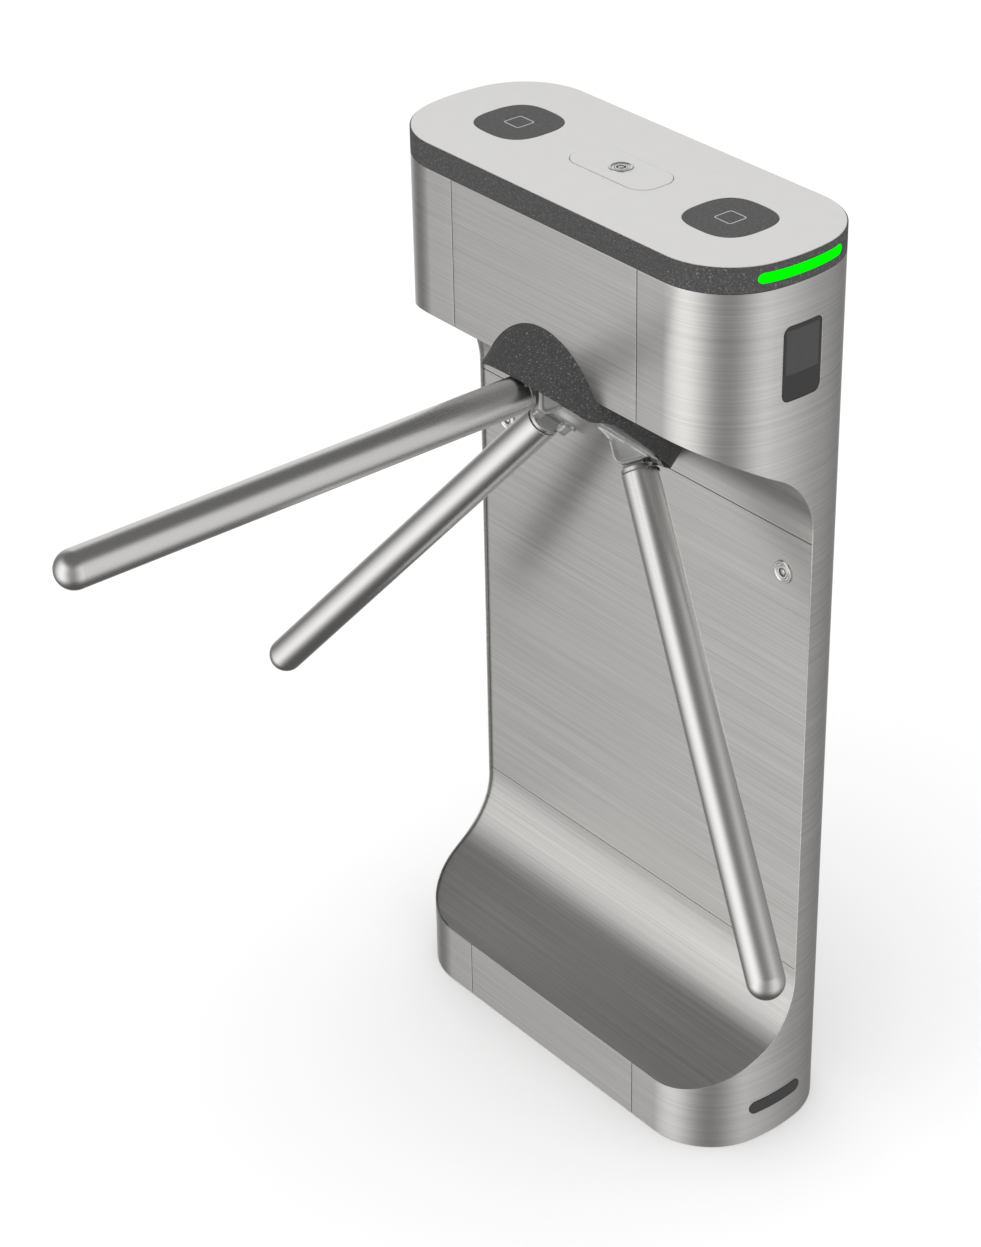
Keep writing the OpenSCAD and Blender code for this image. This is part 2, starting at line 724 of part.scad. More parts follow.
module solenoid(side) color([0.35, 0.25, 0.2]) rotor_frame() translate([side * (pawl_x + pawl_tail), 0, 0])
    difference() {
        union() {
            translate([-11, 62, disc_z - 8]) cube([22, 38, 22]);
            translate([-11, 66, disc_z + 14]) cube([22, 30, plate_back - disc_z - 14]);
        }
        translate([0, 61, disc_z + 3]) rotate([-90, 0, 0]) cylinder(r = 4 + run, h = 36);
    }

module entry_solenoid() solenoid(1);

module exit_solenoid() solenoid(-1);

module plunger(side) color("silver") rotor_frame() translate([side * (pawl_x + pawl_tail), 0, disc_z + 3])
    rotate([-90, 0, 0]) union() {
        rod(4, pawl_y + 3 + fit, 90);
        rod(6, pawl_y + 10, pawl_y + 12);
    }

module entry_plunger() plunger(1);

module exit_plunger() plunger(-1);

// Lever that presses the roller towards the index cam
module follower_lever() color([0.5, 0.5, 0.52]) rotor_frame() difference() {
    union() {
        translate([lever_x, lever_y, cam_z]) cylinder(r = 9, h = cam_w);
        translate([lever_x, lever_y - 5, cam_z]) cube([-lever_x + 14, 10, cam_w]);
        translate([0, roller_y, cam_z + 0.5]) cylinder(r = 3, h = cam_w - 1);
        translate([-6, lever_y, cam_z]) cube([12, 7, cam_w]);
    }
    translate([lever_x, lever_y, cam_z - 1]) cylinder(r = 4 + run, h = cam_w + 2);
    translate([0, roller_y, cam_z + 1]) ring(roller_r + 1, 3, 0, cam_w - 2);
}

module follower_roller() color([0.9, 0.9, 0.85]) rotor_frame() translate([0, roller_y, cam_z + 1.3])
    ring(roller_r, 3 + run, 0, cam_w - 2.6);

// Torsion spring round the lever's post
module centring_spring() color("silver") rotor_frame() translate([lever_x, lever_y, cam_z + cam_w + fit])
    ring(post_r + 3, post_r + run, 0, 9);

// Electronics

module control_board() color("seagreen") translate([board_x, board_y, door_mid_z + board_up]) {
    cube([board_l, board_t, board_h]);
    for (x = [board_edge, board_l - board_edge], z = [board_edge, board_h - board_edge])
        translate([x, board_t, z]) rotate([-90, 0, 0])
            cylinder(r = 3, h = half_w - sheet_t - fit - board_y - board_t);
    translate([2 * board_edge, -12, 2 * board_edge]) cube([50, 12, 30]);
    translate([board_l - 60, -8, board_h - 40]) cube([40, 8, 20]);
}

module power_supply() color([0.75, 0.76, 0.75])
    translate([supply_x, post_back - post_t - supply_d, base_t]) union() {
        cube([supply_l, supply_d - fit, supply_h]);
        translate([supply_l / 12, -2, supply_h]) cube([supply_l * 5 / 6, supply_d - 4, 3]);
    }

module cable_gland() color(dark) difference() {
    union() {
        rod(20 - fit, 0.5, base_t + 12);
        rod(26, base_t, base_t + 4);
    }
    rod(12, -1, base_t + 14);
}

// Arms

// Tube with a round tip, hollow from its root
module arm_tube() {
    n = 8;
    tip = arm_reach;
    difference() {
        rotate_extrude() polygon(concat([[0, arm_root], [arm_r, arm_root]],
            [for (i = [0:n]) let (t = 90 * i / n) [i == n ? 0 : arm_r * cos(t), tip + arm_r * sin(t)]]));
        rod(arm_r - arm_wall, arm_root - 1, tip - 4);
    }
}

// Tongue on the pivot pin, with the plug that the tube is pressed on
module arm_socket() {
    difference() {
        union() {
            translate([-tongue_w, -pin_drop, pin_s]) rotate([0, 90, 0]) cylinder(r = knuckle_r - 1, h = 2 * tongue_w);
            translate([-tongue_w, -pin_drop - 10, pin_s]) cube([2 * tongue_w, 20, arm_root - 4 - pin_s]);
            rod(arm_r - 2, arm_root - 5.2, arm_root - 0.2);
            rod(arm_r - arm_wall - run, arm_root - 2, arm_root + 30);
        }
        translate([-tongue_w - 1, -pin_drop, pin_s]) rotate([0, 90, 0])
            cylinder(r = pin_r + run, h = 2 * tongue_w + 2);
    }
}

module pivot_pin() {
    translate([-ear_out - 0.5, -pin_drop, pin_s]) rotate([0, 90, 0]) cylinder(r = pin_r, h = 2 * ear_out + 1);
}

module pivot_pins() color("silver") rotor_frame() for (k = [0:2]) arm_frame(k) pivot_pin();

module latched_sockets() color("silver") rotor_frame() for (k = [1, 2]) arm_frame(k) arm_socket();

module blocking_socket() color("silver") rotor_frame() arm_frame(0) arm_socket();

module latched_arms() color(steel) rotor_frame() for (k = [1, 2]) arm_frame(k) arm_tube();

module blocking_arm() color(steel) rotor_frame() arm_frame(0) arm_tube();

base_plate();
frame();
near_end_shell();
far_end_shell();
back_panel();
head_front_panel();
head_underside_panel();
service_door();
step_panel();
base_front_panel();
name_plate();
top_ring();
top_plate();
service_hatch();
hatch_lock_body();
hatch_key_plug();
door_lock_bodies();
door_key_plug_near();
door_key_plug_far();
reader_window_near();
reader_window_far();
reader_boards();
status_light_near();
status_light_far();
display_window_near();
display_window_far();
display_boards();
hub_shroud();
hub();
hub_bolt();
main_shaft();
bearing_housing();
bearings();
mechanism_plate();
mechanism_bolts();
drive_gear();
index_cam();
locking_disc();
encoder_disc();
encoder_sensor();
damper();
damper_pinion();
pawl_pivots();
entry_pawl();
exit_pawl();
entry_solenoid();
exit_solenoid();
entry_plunger();
exit_plunger();
follower_lever();
follower_roller();
centring_spring();
control_board();
power_supply();
cable_gland();
pivot_pins();
latched_sockets();
blocking_socket();
latched_arms();
blocking_arm();
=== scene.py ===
"""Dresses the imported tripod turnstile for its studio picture.

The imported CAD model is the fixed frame. The curved sheet metal, the top, the cup, the hub casting, the locks
and the arm tubes are made here as smooth surfaces on the same sizes, and every other CAD piece gets its
finish. Sizes are in millimetres in the classes and in metres in the meshes.
"""

from __future__ import annotations

import logging
import math
from dataclasses import dataclass, field
from enum import Enum
from typing import Mapping, Sequence, Union

import bmesh
import bpy
import numpy as np
from mathutils import Matrix, Vector

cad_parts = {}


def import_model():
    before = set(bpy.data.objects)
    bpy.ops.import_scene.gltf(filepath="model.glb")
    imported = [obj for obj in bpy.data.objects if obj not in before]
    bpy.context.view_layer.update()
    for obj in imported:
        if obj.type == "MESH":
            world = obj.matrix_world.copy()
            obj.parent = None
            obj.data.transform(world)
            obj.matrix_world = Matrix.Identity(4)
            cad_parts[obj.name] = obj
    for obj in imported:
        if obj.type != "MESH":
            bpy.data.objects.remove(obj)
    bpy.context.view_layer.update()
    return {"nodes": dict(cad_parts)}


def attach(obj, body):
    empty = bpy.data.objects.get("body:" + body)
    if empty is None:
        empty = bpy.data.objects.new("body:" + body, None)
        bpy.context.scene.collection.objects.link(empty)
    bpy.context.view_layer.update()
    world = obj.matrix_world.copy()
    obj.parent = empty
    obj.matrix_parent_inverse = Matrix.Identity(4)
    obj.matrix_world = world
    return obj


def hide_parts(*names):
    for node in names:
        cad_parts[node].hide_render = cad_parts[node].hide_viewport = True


LOG = logging.getLogger("turnstile")
METRE = 0.001
WELD = 0.00001
SLACK = 1e-4
CRISP = 50.0
Numbers = Union[np.ndarray, float]


# Node writing


class Signal:
    """One number, colour or vector of a material, held as the socket that gives it."""

    def __init__(self, writer: NodeWriter, socket: bpy.types.NodeSocket) -> None:
        """Wraps an output socket of the tree that the writer works in."""
        self.writer = writer
        self.socket = socket

    def __add__(self, other: Value) -> Signal:
        """Adds a number or signal."""
        return self.writer.math("ADD", self, other)

    def __sub__(self, other: Value) -> Signal:
        """Takes a number or signal away."""
        return self.writer.math("SUBTRACT", self, other)

    def __rsub__(self, other: Value) -> Signal:
        """Takes this signal away from a number."""
        return self.writer.math("SUBTRACT", other, self)

    def __mul__(self, other: Value) -> Signal:
        """Multiplies by a number or signal."""
        return self.writer.math("MULTIPLY", self, other)

    def __truediv__(self, other: Value) -> Signal:
        """Divides by a number or signal."""
        return self.writer.math("DIVIDE", self, other)

    def __rtruediv__(self, other: Value) -> Signal:
        """Divides a number by this signal."""
        return self.writer.math("DIVIDE", other, self)

    __radd__ = __add__
    __rmul__ = __mul__

    def exp(self) -> Signal:
        """Gives e to the power of this signal."""
        return self.writer.math("EXPONENT", self)

    def clamp(self) -> Signal:
        """Keeps the signal between 0 and 1."""
        return self.writer.math("MINIMUM", self.writer.math("MAXIMUM", self, 0.0), 1.0)

    def step(self, low: float, high: float) -> Signal:
        """Gives a smooth step from 0 at low to 1 at high."""
        return self.writer.result("ShaderNodeMapRange", {"interpolation_type": "SMOOTHSTEP"},
                                  {"Value": self, "From Min": low, "From Max": high})

    def within(self, rise: tuple[float, float], fall: tuple[float, float]) -> Signal:
        """Gives a band: a step up over the first range times a step down over the second."""
        return self.step(*rise) * (1.0 - self.step(*fall))


Value = Union[Signal, float, Sequence[float]]


class Coordinates(Enum):
    """Where a pattern takes its place from."""

    OBJECT = "Object"
    UV = "UV"


class NodeWriter:
    """Writes nodes into one tree."""

    def __init__(self, tree: bpy.types.NodeTree) -> None:
        """Empties the tree of a material or the world, and starts writing in it."""
        self.tree = tree
        tree.nodes.clear()

    def add(self, kind: str, settings: Mapping[str, object] | None = None,
            sockets: Mapping[Union[str, int], Value] | None = None) -> bpy.types.Node:
        """Adds one node.

        Args:
            kind: The node's type.
            settings: Properties that are set before the sockets.
            sockets: Values or signals of the input sockets, by name or number.

        Returns:
            The new node.
        """
        node = self.tree.nodes.new(kind)
        for name, value in (settings or {}).items():
            setattr(node, name, value)
        for name, value in (sockets or {}).items():
            if isinstance(value, Signal):
                self.tree.links.new(value.socket, node.inputs[name])
            else:
                node.inputs[name].default_value = value
        return node

    def result(self, kind: str, settings: Mapping[str, object] | None = None,
               sockets: Mapping[Union[str, int], Value] | None = None, output: Union[str, int] = 0) -> Signal:
        """Adds one node as add does, and gives one of its outputs."""
        return Signal(self, self.add(kind, settings, sockets).outputs[output])

    def math(self, operation: str, *values: Value) -> Signal:
        """Works out a Math node's operation on one to three values."""
        return self.result("ShaderNodeMath", {"operation": operation}, dict(enumerate(values)))

    def place(self, coordinates: Coordinates) -> Signal:
        """Gives the place on the piece in metres, from its object space or its own UV map."""
        return self.result("ShaderNodeTexCoord", output=coordinates.value)

    def stretched(self, vector: Signal, scale: Sequence[float],
                  shift: Sequence[float] = (0.0, 0.0, 0.0)) -> Signal:
        """Scales a place along each axis, and then shifts it."""
        return self.result("ShaderNodeMapping", {}, {"Vector": vector, "Scale": scale, "Location": shift})

    def noise(self, vector: Signal, scale: float, detail: float = 2.0, rough: float = 0.5) -> Signal:
        """Gives a cloudy pattern from 0 to 1.

        Args:
            vector: The place.
            scale: Size of the pattern, in repeats per unit.
            detail: Number of finer layers.
            rough: Share of each finer layer.

        Returns:
            The pattern.
        """
        sockets = {"Vector": vector, "Scale": scale, "Detail": detail, "Roughness": rough}
        return self.result("ShaderNodeTexNoise", {"noise_dimensions": "3D"}, sockets)

    def parts(self, vector: Signal) -> tuple[Signal, ...]:
        """Splits a vector into its three numbers."""
        outputs = self.add("ShaderNodeSeparateXYZ", {}, {0: vector}).outputs
        return tuple(Signal(self, output) for output in outputs)

    def mixed(self, share: Value, first: Value, second: Value) -> Signal:
        """Mixes two colours: the first at share 0 and the second at share 1."""
        return self.result("ShaderNodeMix", {"data_type": "RGBA"}, {0: share, 6: first, 7: second}, 2)

    def bump(self, height: Signal, strength: float, distance: float) -> Signal:
        """Turns a height from 0 to 1 into a normal, for a relief so many metres deep."""
        sockets = {"Height": height, "Strength": strength, "Distance": distance}
        return self.result("ShaderNodeBump", {}, sockets)

    def surface(self, sockets: Mapping[Union[str, int], Value]) -> None:
        """Ends a material in a Principled shader with these sockets."""
        shader = self.add("ShaderNodeBsdfPrincipled", {}, sockets)
        self.add("ShaderNodeOutputMaterial", {}, {"Surface": Signal(self, shader.outputs[0])})


def shade(tone: Sequence[float], level: float = 1.0) -> tuple[float, ...]:
    """Gives an opaque linear colour: each channel of the tone times the level."""
    return (*(min(1.0, channel * level) for channel in tone), 1.0)


# Finishes


@dataclass(frozen=True)
class Finish:
    """A finish, written once as a material."""

    name: str
    slot: str

    def material(self) -> bpy.types.Material:
        """Gives the finish's material, and writes it the first time.

        Returns:
            The material.
        """
        found = bpy.data.materials.get(self.name)
        if found is None:
            found = bpy.data.materials.new(self.name)
            found.use_nodes = True
            self.write(NodeWriter(found.node_tree))
        return found

    def write(self, w: NodeWriter) -> None:
        """Writes the finish's nodes."""
        raise NotImplementedError(self.name)


@dataclass(frozen=True)
class BrushedSteel(Finish):
    """Stainless sheet with its grain along the first axis of its coordinates."""

    coordinates: Coordinates = Coordinates.UV
    grain: tuple[float, float, float] = (3.0, 520.0, 0.0)
    streak: tuple[float, float, float] = (1.6, 230.0, 0.0)
    streak_shift: tuple[float, float, float] = (3.1, 7.7, 0.0)
    grain_share: float = 1.5
    streak_share: float = 0.6
    pale: tuple[float, float, float] = (0.80, 0.79, 0.77)
    deep: tuple[float, float, float] = (0.56, 0.55, 0.535)
    roughness: float = 0.30
    uneven: float = 0.14
    spread: float = 0.65
    relief: float = 0.05

    def write(self, w: NodeWriter) -> None:
        """Mixes fine grain and broad streaks into colour, roughness and a shallow bump.

        Args:
            w: The material's writer.
        """
        place = w.place(self.coordinates)
        fine = w.noise(w.stretched(place, self.grain), 1.0, 3.0, 0.62)
        broad = w.noise(w.stretched(place, self.streak, self.streak_shift), 1.0, 2.0, 0.5)
        share = ((fine - 0.5) * self.grain_share + (broad - 0.5) * self.streak_share + 0.5).clamp()
        w.surface({
            "Base Color": w.mixed(share, shade(self.deep), shade(self.pale)),
            "Metallic": 1.0,
            "Roughness": (fine - 0.5) * self.uneven + self.roughness,
            "Anisotropic": self.spread,
            "Anisotropic Rotation": 0.25,
            "Normal": w.bump(fine, self.relief, 0.0002),
        })


@dataclass(frozen=True)
class SmoothMetal(Finish):
    """Plain metal with a faint cloudiness, from polished to satin."""

    tone: tuple[float, float, float] = (0.7, 0.7, 0.69)
    roughness: float = 0.2
    cloud: float = 60.0
    finer: float = 14.0
    wear: float = 0.06
    uneven: float = 0.08
    relief: float = 0.03

    def write(self, w: NodeWriter) -> None:
        """Varies the tone and roughness a little by a cloudy pattern, over a finer bump.

        Args:
            w: The material's writer.
        """
        place = w.place(Coordinates.OBJECT)
        cloud = w.noise(place, self.cloud, 3.0, 0.6)
        worn, clean = shade(self.tone, 1.0 - self.wear), shade(self.tone, 1.0 + self.wear)
        w.surface({
            "Base Color": w.mixed(cloud, worn, clean),
            "Metallic": 1.0,
            "Roughness": (cloud - 0.5) * self.uneven + self.roughness,
            "Normal": w.bump(w.noise(place, self.cloud * self.finer, 2.0), self.relief, 0.0001),
        })


@dataclass(frozen=True)
class ArmSteel(Finish):
    """Satin tube polished along its length; UV runs along the tube and round it, in metres."""

    tone: tuple[float, float, float] = (0.75, 0.74, 0.73)
    roughness: float = 0.27
    lines: tuple[float, float, float] = (4.0, 900.0, 0.0)
    wear: float = 0.03
    uneven: float = 0.05
    relief: float = 0.012

    def write(self, w: NodeWriter) -> None:
        """Adds fine polishing lines along the tube.

        Args:
            w: The material's writer.
        """
        lines = w.noise(w.stretched(w.place(Coordinates.UV), self.lines), 1.0, 3.0, 0.6)
        w.surface({
            "Base Color": w.mixed(lines, shade(self.tone, 1.0 - self.wear), shade(self.tone)),
            "Metallic": 1.0,
            "Roughness": (lines - 0.5) * self.uneven + self.roughness,
            "Normal": w.bump(lines, self.relief, 0.0001),
        })


@dataclass(frozen=True)
class SpeckledCoat(Finish):
    """Dark textured coat with fine pale specks."""

    tone: tuple[float, float, float] = (0.048, 0.048, 0.048)
    speck: tuple[float, float, float] = (0.24, 0.24, 0.24)
    size: float = 520.0
    amount: float = 0.62
    roughness: float = 0.62
    ground_size: float = 420.0
    ground_band: tuple[float, float] = (0.3, 0.7)
    lighter: float = 1.6
    speck_share: float = 0.8
    edge_under: float = 0.05
    edge_over: float = 0.12
    uneven: float = 0.15
    relief: float = 0.35

    def write(self, w: NodeWriter) -> None:
        """Scatters specks by a threshold on fine noise, over a cloudy ground.

        Args:
            w: The material's writer.
        """
        place = w.place(Coordinates.OBJECT)
        ground = w.noise(place, self.ground_size, 2.0, 0.7)
        fine = w.noise(place, self.size, 2.0, 0.6)
        specks = fine.step(self.amount - self.edge_under, self.amount + self.edge_over)
        body = w.mixed(ground.step(*self.ground_band), shade(self.tone), shade(self.tone, self.lighter))
        w.surface({
            "Base Color": w.mixed(specks * self.speck_share, body, shade(self.speck)),
            "Roughness": (ground - 0.5) * self.uneven + self.roughness,
            "Specular IOR Level": 0.35,
            "Normal": w.bump(fine + ground * 0.5, self.relief, 0.0002),
        })


@dataclass(frozen=True)
class SatinPaint(Finish):
    """Smooth satin paint or moulding with a faint mottle."""

    tone: tuple[float, float, float] = (0.588, 0.583, 0.573)
    mottle: float = 0.03
    size: float = 45.0
    roughness: float = 0.48
    uneven: float = 0.1
    grit: float = 0.05
    grit_size: float = 1400.0

    def write(self, w: NodeWriter) -> None:
        """Varies the tone by a few per cent and gives the skin a fine grit.

        Args:
            w: The material's writer.
        """
        place = w.place(Coordinates.OBJECT)
        cloud = w.noise(place, self.size, 3.0, 0.55)
        dark, light = shade(self.tone, 1.0 - self.mottle), shade(self.tone, 1.0 + self.mottle)
        w.surface({
            "Base Color": w.mixed(cloud, dark, light),
            "Roughness": (cloud - 0.5) * self.uneven + self.roughness,
            "Specular IOR Level": 0.4,
            "Normal": w.bump(w.noise(place, self.grit_size, 1.0), self.grit, 0.0001),
        })


@dataclass(frozen=True)
class LitLens(Finish):
    """Lens that glows evenly in one colour."""

    glow: tuple[float, float, float] = (0.0, 1.0, 0.0)
    unlit: tuple[float, float, float] = (0.0, 0.1, 0.0)
    fade: float = 0.97

    def write(self, w: NodeWriter) -> None:
        """Fades the glow by a hair where the light guide is thin.

        Args:
            w: The material's writer.
        """
        cloud = w.noise(w.place(Coordinates.OBJECT), 30.0, 1.0)
        w.surface({
            "Base Color": shade(self.unlit),
            "Roughness": 0.4,
            "Specular IOR Level": 0.0,
            "Emission Color": w.mixed(cloud, shade(self.glow, self.fade), shade(self.glow)),
            "Emission Strength": 1.0,
        })


@dataclass(frozen=True)
class SmokedGlass(Finish):
    """Dark window with a lighter screen behind its upper part."""

    edge: tuple[float, float, float] = (0.040, 0.040, 0.040)
    screen: tuple[float, float, float] = (0.068, 0.068, 0.068)
    half_wide: float = 0.020
    low: float = 0.884
    high: float = 0.928
    soft: float = 0.0004
    soft_foot: float = 0.0005
    haze_share: float = 0.2
    roughness: float = 0.22
    uneven: float = 0.05

    def write(self, w: NodeWriter) -> None:
        """Masks the screen by depth and height.

        Args:
            w: The material's writer.
        """
        _, y, z = w.parts(w.place(Coordinates.OBJECT))
        aside = w.math("ABSOLUTE", y)
        mask = 1.0 - aside.step(self.half_wide - self.soft, self.half_wide + self.soft)
        mask = mask * z.step(self.low - self.soft_foot, self.low + self.soft_foot)
        mask = mask * (1.0 - z.step(self.high - self.soft, self.high + self.soft))
        haze = w.noise(w.place(Coordinates.OBJECT), 80.0, 2.0)
        w.surface({
            "Base Color": w.mixed(mask * (haze * self.haze_share + (1.0 - self.haze_share)), shade(self.edge),
                                  shade(self.screen)),
            "Roughness": haze * self.uneven + self.roughness,
            "Specular IOR Level": 0.12,
        })


@dataclass(frozen=True)
class GreenBoard(Finish):
    """Green circuit board with copper tracks under its lacquer."""

    lacquer: tuple[float, float, float] = (0.012, 0.09, 0.035)
    track: tuple[float, float, float] = (0.04, 0.22, 0.07)
    rise: tuple[float, float] = (0.55, 0.57)
    fall: tuple[float, float] = (0.60, 0.62)

    def write(self, w: NodeWriter) -> None:
        """Draws tracks as thin bands of two stretched patterns.

        Args:
            w: The material's writer.
        """
        place = w.place(Coordinates.OBJECT)
        across = w.noise(w.stretched(place, (40.0, 300.0, 300.0)), 1.0, 0.0)
        along = w.noise(w.stretched(place, (300.0, 300.0, 40.0)), 1.0, 0.0)
        tracks = (across.within(self.rise, self.fall) + along.within(self.rise, self.fall)).clamp()
        w.surface({
            "Base Color": w.mixed(tracks, shade(self.lacquer), shade(self.track)),
            "Roughness": tracks * 0.1 + 0.35,
            "Normal": w.bump(tracks, 0.3, 0.0001),
        })


@dataclass(frozen=True)
class CoilCase(Finish):
    """Coil of copper-brown wire in its case."""

    gap: tuple[float, float, float] = (0.10, 0.045, 0.02)
    wire: tuple[float, float, float] = (0.30, 0.14, 0.07)
    turns: float = 120.0

    def write(self, w: NodeWriter) -> None:
        """Draws the turns as fine waves.

        Args:
            w: The material's writer.
        """
        wave = w.result("ShaderNodeTexWave", {"wave_type": "BANDS", "bands_direction": "Y"},
                        {"Vector": w.place(Coordinates.OBJECT), "Scale": self.turns, "Distortion": 0.4}, 1)
        w.surface({
            "Base Color": w.mixed(wave, shade(self.gap), shade(self.wire)),
            "Metallic": 0.3,
            "Roughness": wave * 0.15 + 0.35,
            "Normal": w.bump(wave, 0.4, 0.0003),
        })


@dataclass(frozen=True)
class PaleFloor(Finish):
    """Nearly white, dull studio floor."""

    dull: tuple[float, float, float] = (0.975, 0.975, 0.975)
    clean: tuple[float, float, float] = (0.99, 0.99, 0.99)

    def write(self, w: NodeWriter) -> None:
        """Varies the white by a hair in broad clouds.

        Args:
            w: The material's writer.
        """
        cloud = w.noise(w.place(Coordinates.OBJECT), 1.5, 2.0)
        w.surface({
            "Base Color": w.mixed(cloud, shade(self.dull), shade(self.clean)),
            "Roughness": 0.9,
            "Specular IOR Level": 0.0,
        })


class Finishes:
    """Every finish of the turnstile by the part of the object it is on."""

    sheet = BrushedSteel("finish_sheet", "brushed_steel")
    liner = BrushedSteel("finish_liner", "brushed_steel", spread=0.0, roughness=0.32)
    flat_sheet = BrushedSteel("finish_flat_sheet", "brushed_steel", coordinates=Coordinates.OBJECT,
                              grain=(3.0, 0.0, 520.0), streak=(1.6, 0.0, 230.0))
    arm = ArmSteel("finish_arm", "arm_steel")
    socket = SmoothMetal("finish_socket", "arm_steel", tone=(0.62, 0.62, 0.61), roughness=0.3)
    casting = SmoothMetal("finish_casting", "hub_casting", tone=(0.68, 0.68, 0.67), roughness=0.5, cloud=90.0)
    chrome = SmoothMetal("finish_chrome", "polished_steel", tone=(0.86, 0.86, 0.85), roughness=0.2)
    machined = SmoothMetal("finish_machined", "machined_steel", tone=(0.60, 0.60, 0.60), roughness=0.28,
                           cloud=120.0)
    zinc = SmoothMetal("finish_zinc", "zinc_steel", tone=(0.55, 0.56, 0.58), roughness=0.42, cloud=25.0,
                       wear=0.14)
    coat = SpeckledCoat("finish_coat", "dark_paint")
    cup_coat = SpeckledCoat("finish_cup_coat", "dark_paint", tone=(0.038, 0.038, 0.038))
    cover = SpeckledCoat("finish_cover", "reader_cover", tone=(0.060, 0.060, 0.060), speck=(0.16, 0.16, 0.16),
                         amount=0.63)
    badge = SatinPaint("finish_badge", "dark_paint", tone=(0.035, 0.035, 0.035), roughness=0.4)
    icon = SatinPaint("finish_icon", "reader_cover", tone=(0.42, 0.42, 0.41), roughness=0.5)
    pale = SatinPaint("finish_pale", "pale_top")
    lens = LitLens("finish_lens", "light_lens")
    glass = SmokedGlass("finish_glass", "dark_glass")
    nylon = SatinPaint("finish_nylon", "nylon", tone=(0.62, 0.55, 0.42), roughness=0.5)
    plastic = SatinPaint("finish_plastic", "black_plastic", tone=(0.03, 0.03, 0.03), roughness=0.45, grit=0.2)
    board = GreenBoard("finish_board", "circuit_board")
    coil = CoilCase("finish_coil", "coil")
    floor = PaleFloor("finish_floor", "")


# Places and outlines


@dataclass(frozen=True)
class Place:
    """An origin and three axes, in millimetres of the object's frame."""

    origin: np.ndarray
    x: np.ndarray
    y: np.ndarray
    z: np.ndarray

    def world(self, points: np.ndarray) -> np.ndarray:
        """Gives points of this place in the object's frame."""
        return self.origin + points @ np.stack([self.x, self.y, self.z])

    def turned_z(self, degrees: float) -> Place:
        """Gives this place turned about its own Z."""
        c, s = math.cos(math.radians(degrees)), math.sin(math.radians(degrees))
        return Place(self.origin, self.x * c + self.y * s, self.y * c - self.x * s, self.z)

    def turned_x(self, degrees: float) -> Place:
        """Gives this place turned about its own X."""
        c, s = math.cos(math.radians(degrees)), math.sin(math.radians(degrees))
        return Place(self.origin, self.x, self.y * c + self.z * s, self.z * c - self.y * s)


WORLD = Place(np.zeros(3), np.array([1.0, 0, 0]), np.array([0, 1.0, 0]), np.array([0, 0, 1.0]))


@dataclass(frozen=True)
class Rotor:
    """Where the rotor and its arms stand."""

    tilt: float = 44.2
    apex_y: float = -10.6
    apex_z: float = 807.2
    arm_spacing: float = 120.0

    @property
    def place(self) -> Place:
        """The rotor's place: Z down and outwards along its axis, Y up and outwards."""
        s, c = math.sin(math.radians(self.tilt)), math.cos(math.radians(self.tilt))
        return Place(np.array([0.0, self.apex_y, self.apex_z]), np.array([1.0, 0, 0]), np.array([0.0, -c, s]),
                     np.array([0.0, -s, -c]))

    def arm(self, index: int) -> Place:
        """Gives an arm's place: Z along the arm, X along its pin, Y towards the head."""
        return self.place.turned_z(-self.arm_spacing * index).turned_x(-(90.0 - self.tilt))

    def up(self, y: Numbers, z: Numbers) -> Numbers:
        """Gives a point's height along the rotor's own Y, from its depth and height in the object's frame."""
        axis = self.place.y
        return (y - self.apex_y) * axis[1] + (z - self.apex_z) * axis[2]


@dataclass
class Stations:
    """Points along the plan outline, each on an arc about its own centre."""

    centre: np.ndarray
    radius: np.ndarray
    angle: np.ndarray
    run: np.ndarray

    def at(self, inset: float) -> np.ndarray:
        """Gives the points drawn in by inset: the centre plus the reduced radius, at the point's angle."""
        return self.centre + (self.radius - inset)[:, None] * grid(np.cos(self.angle), np.sin(self.angle))

    @property
    def depth(self) -> np.ndarray:
        """Y of each point on the outline itself."""
        return self.at(0.0)[:, 1]

    def kept(self, keep: np.ndarray) -> Stations:
        """Gives the stations that a mask keeps."""
        return Stations(self.centre[keep], self.radius[keep], self.angle[keep], self.run[keep])

    def mirrored(self) -> Stations:
        """Gives the same stations on the other end, in reverse order."""
        centre = self.centre[::-1] * np.array([-1.0, 1.0])
        return Stations(centre, self.radius[::-1], math.pi - self.angle[::-1], self.run[-1] - self.run[::-1])


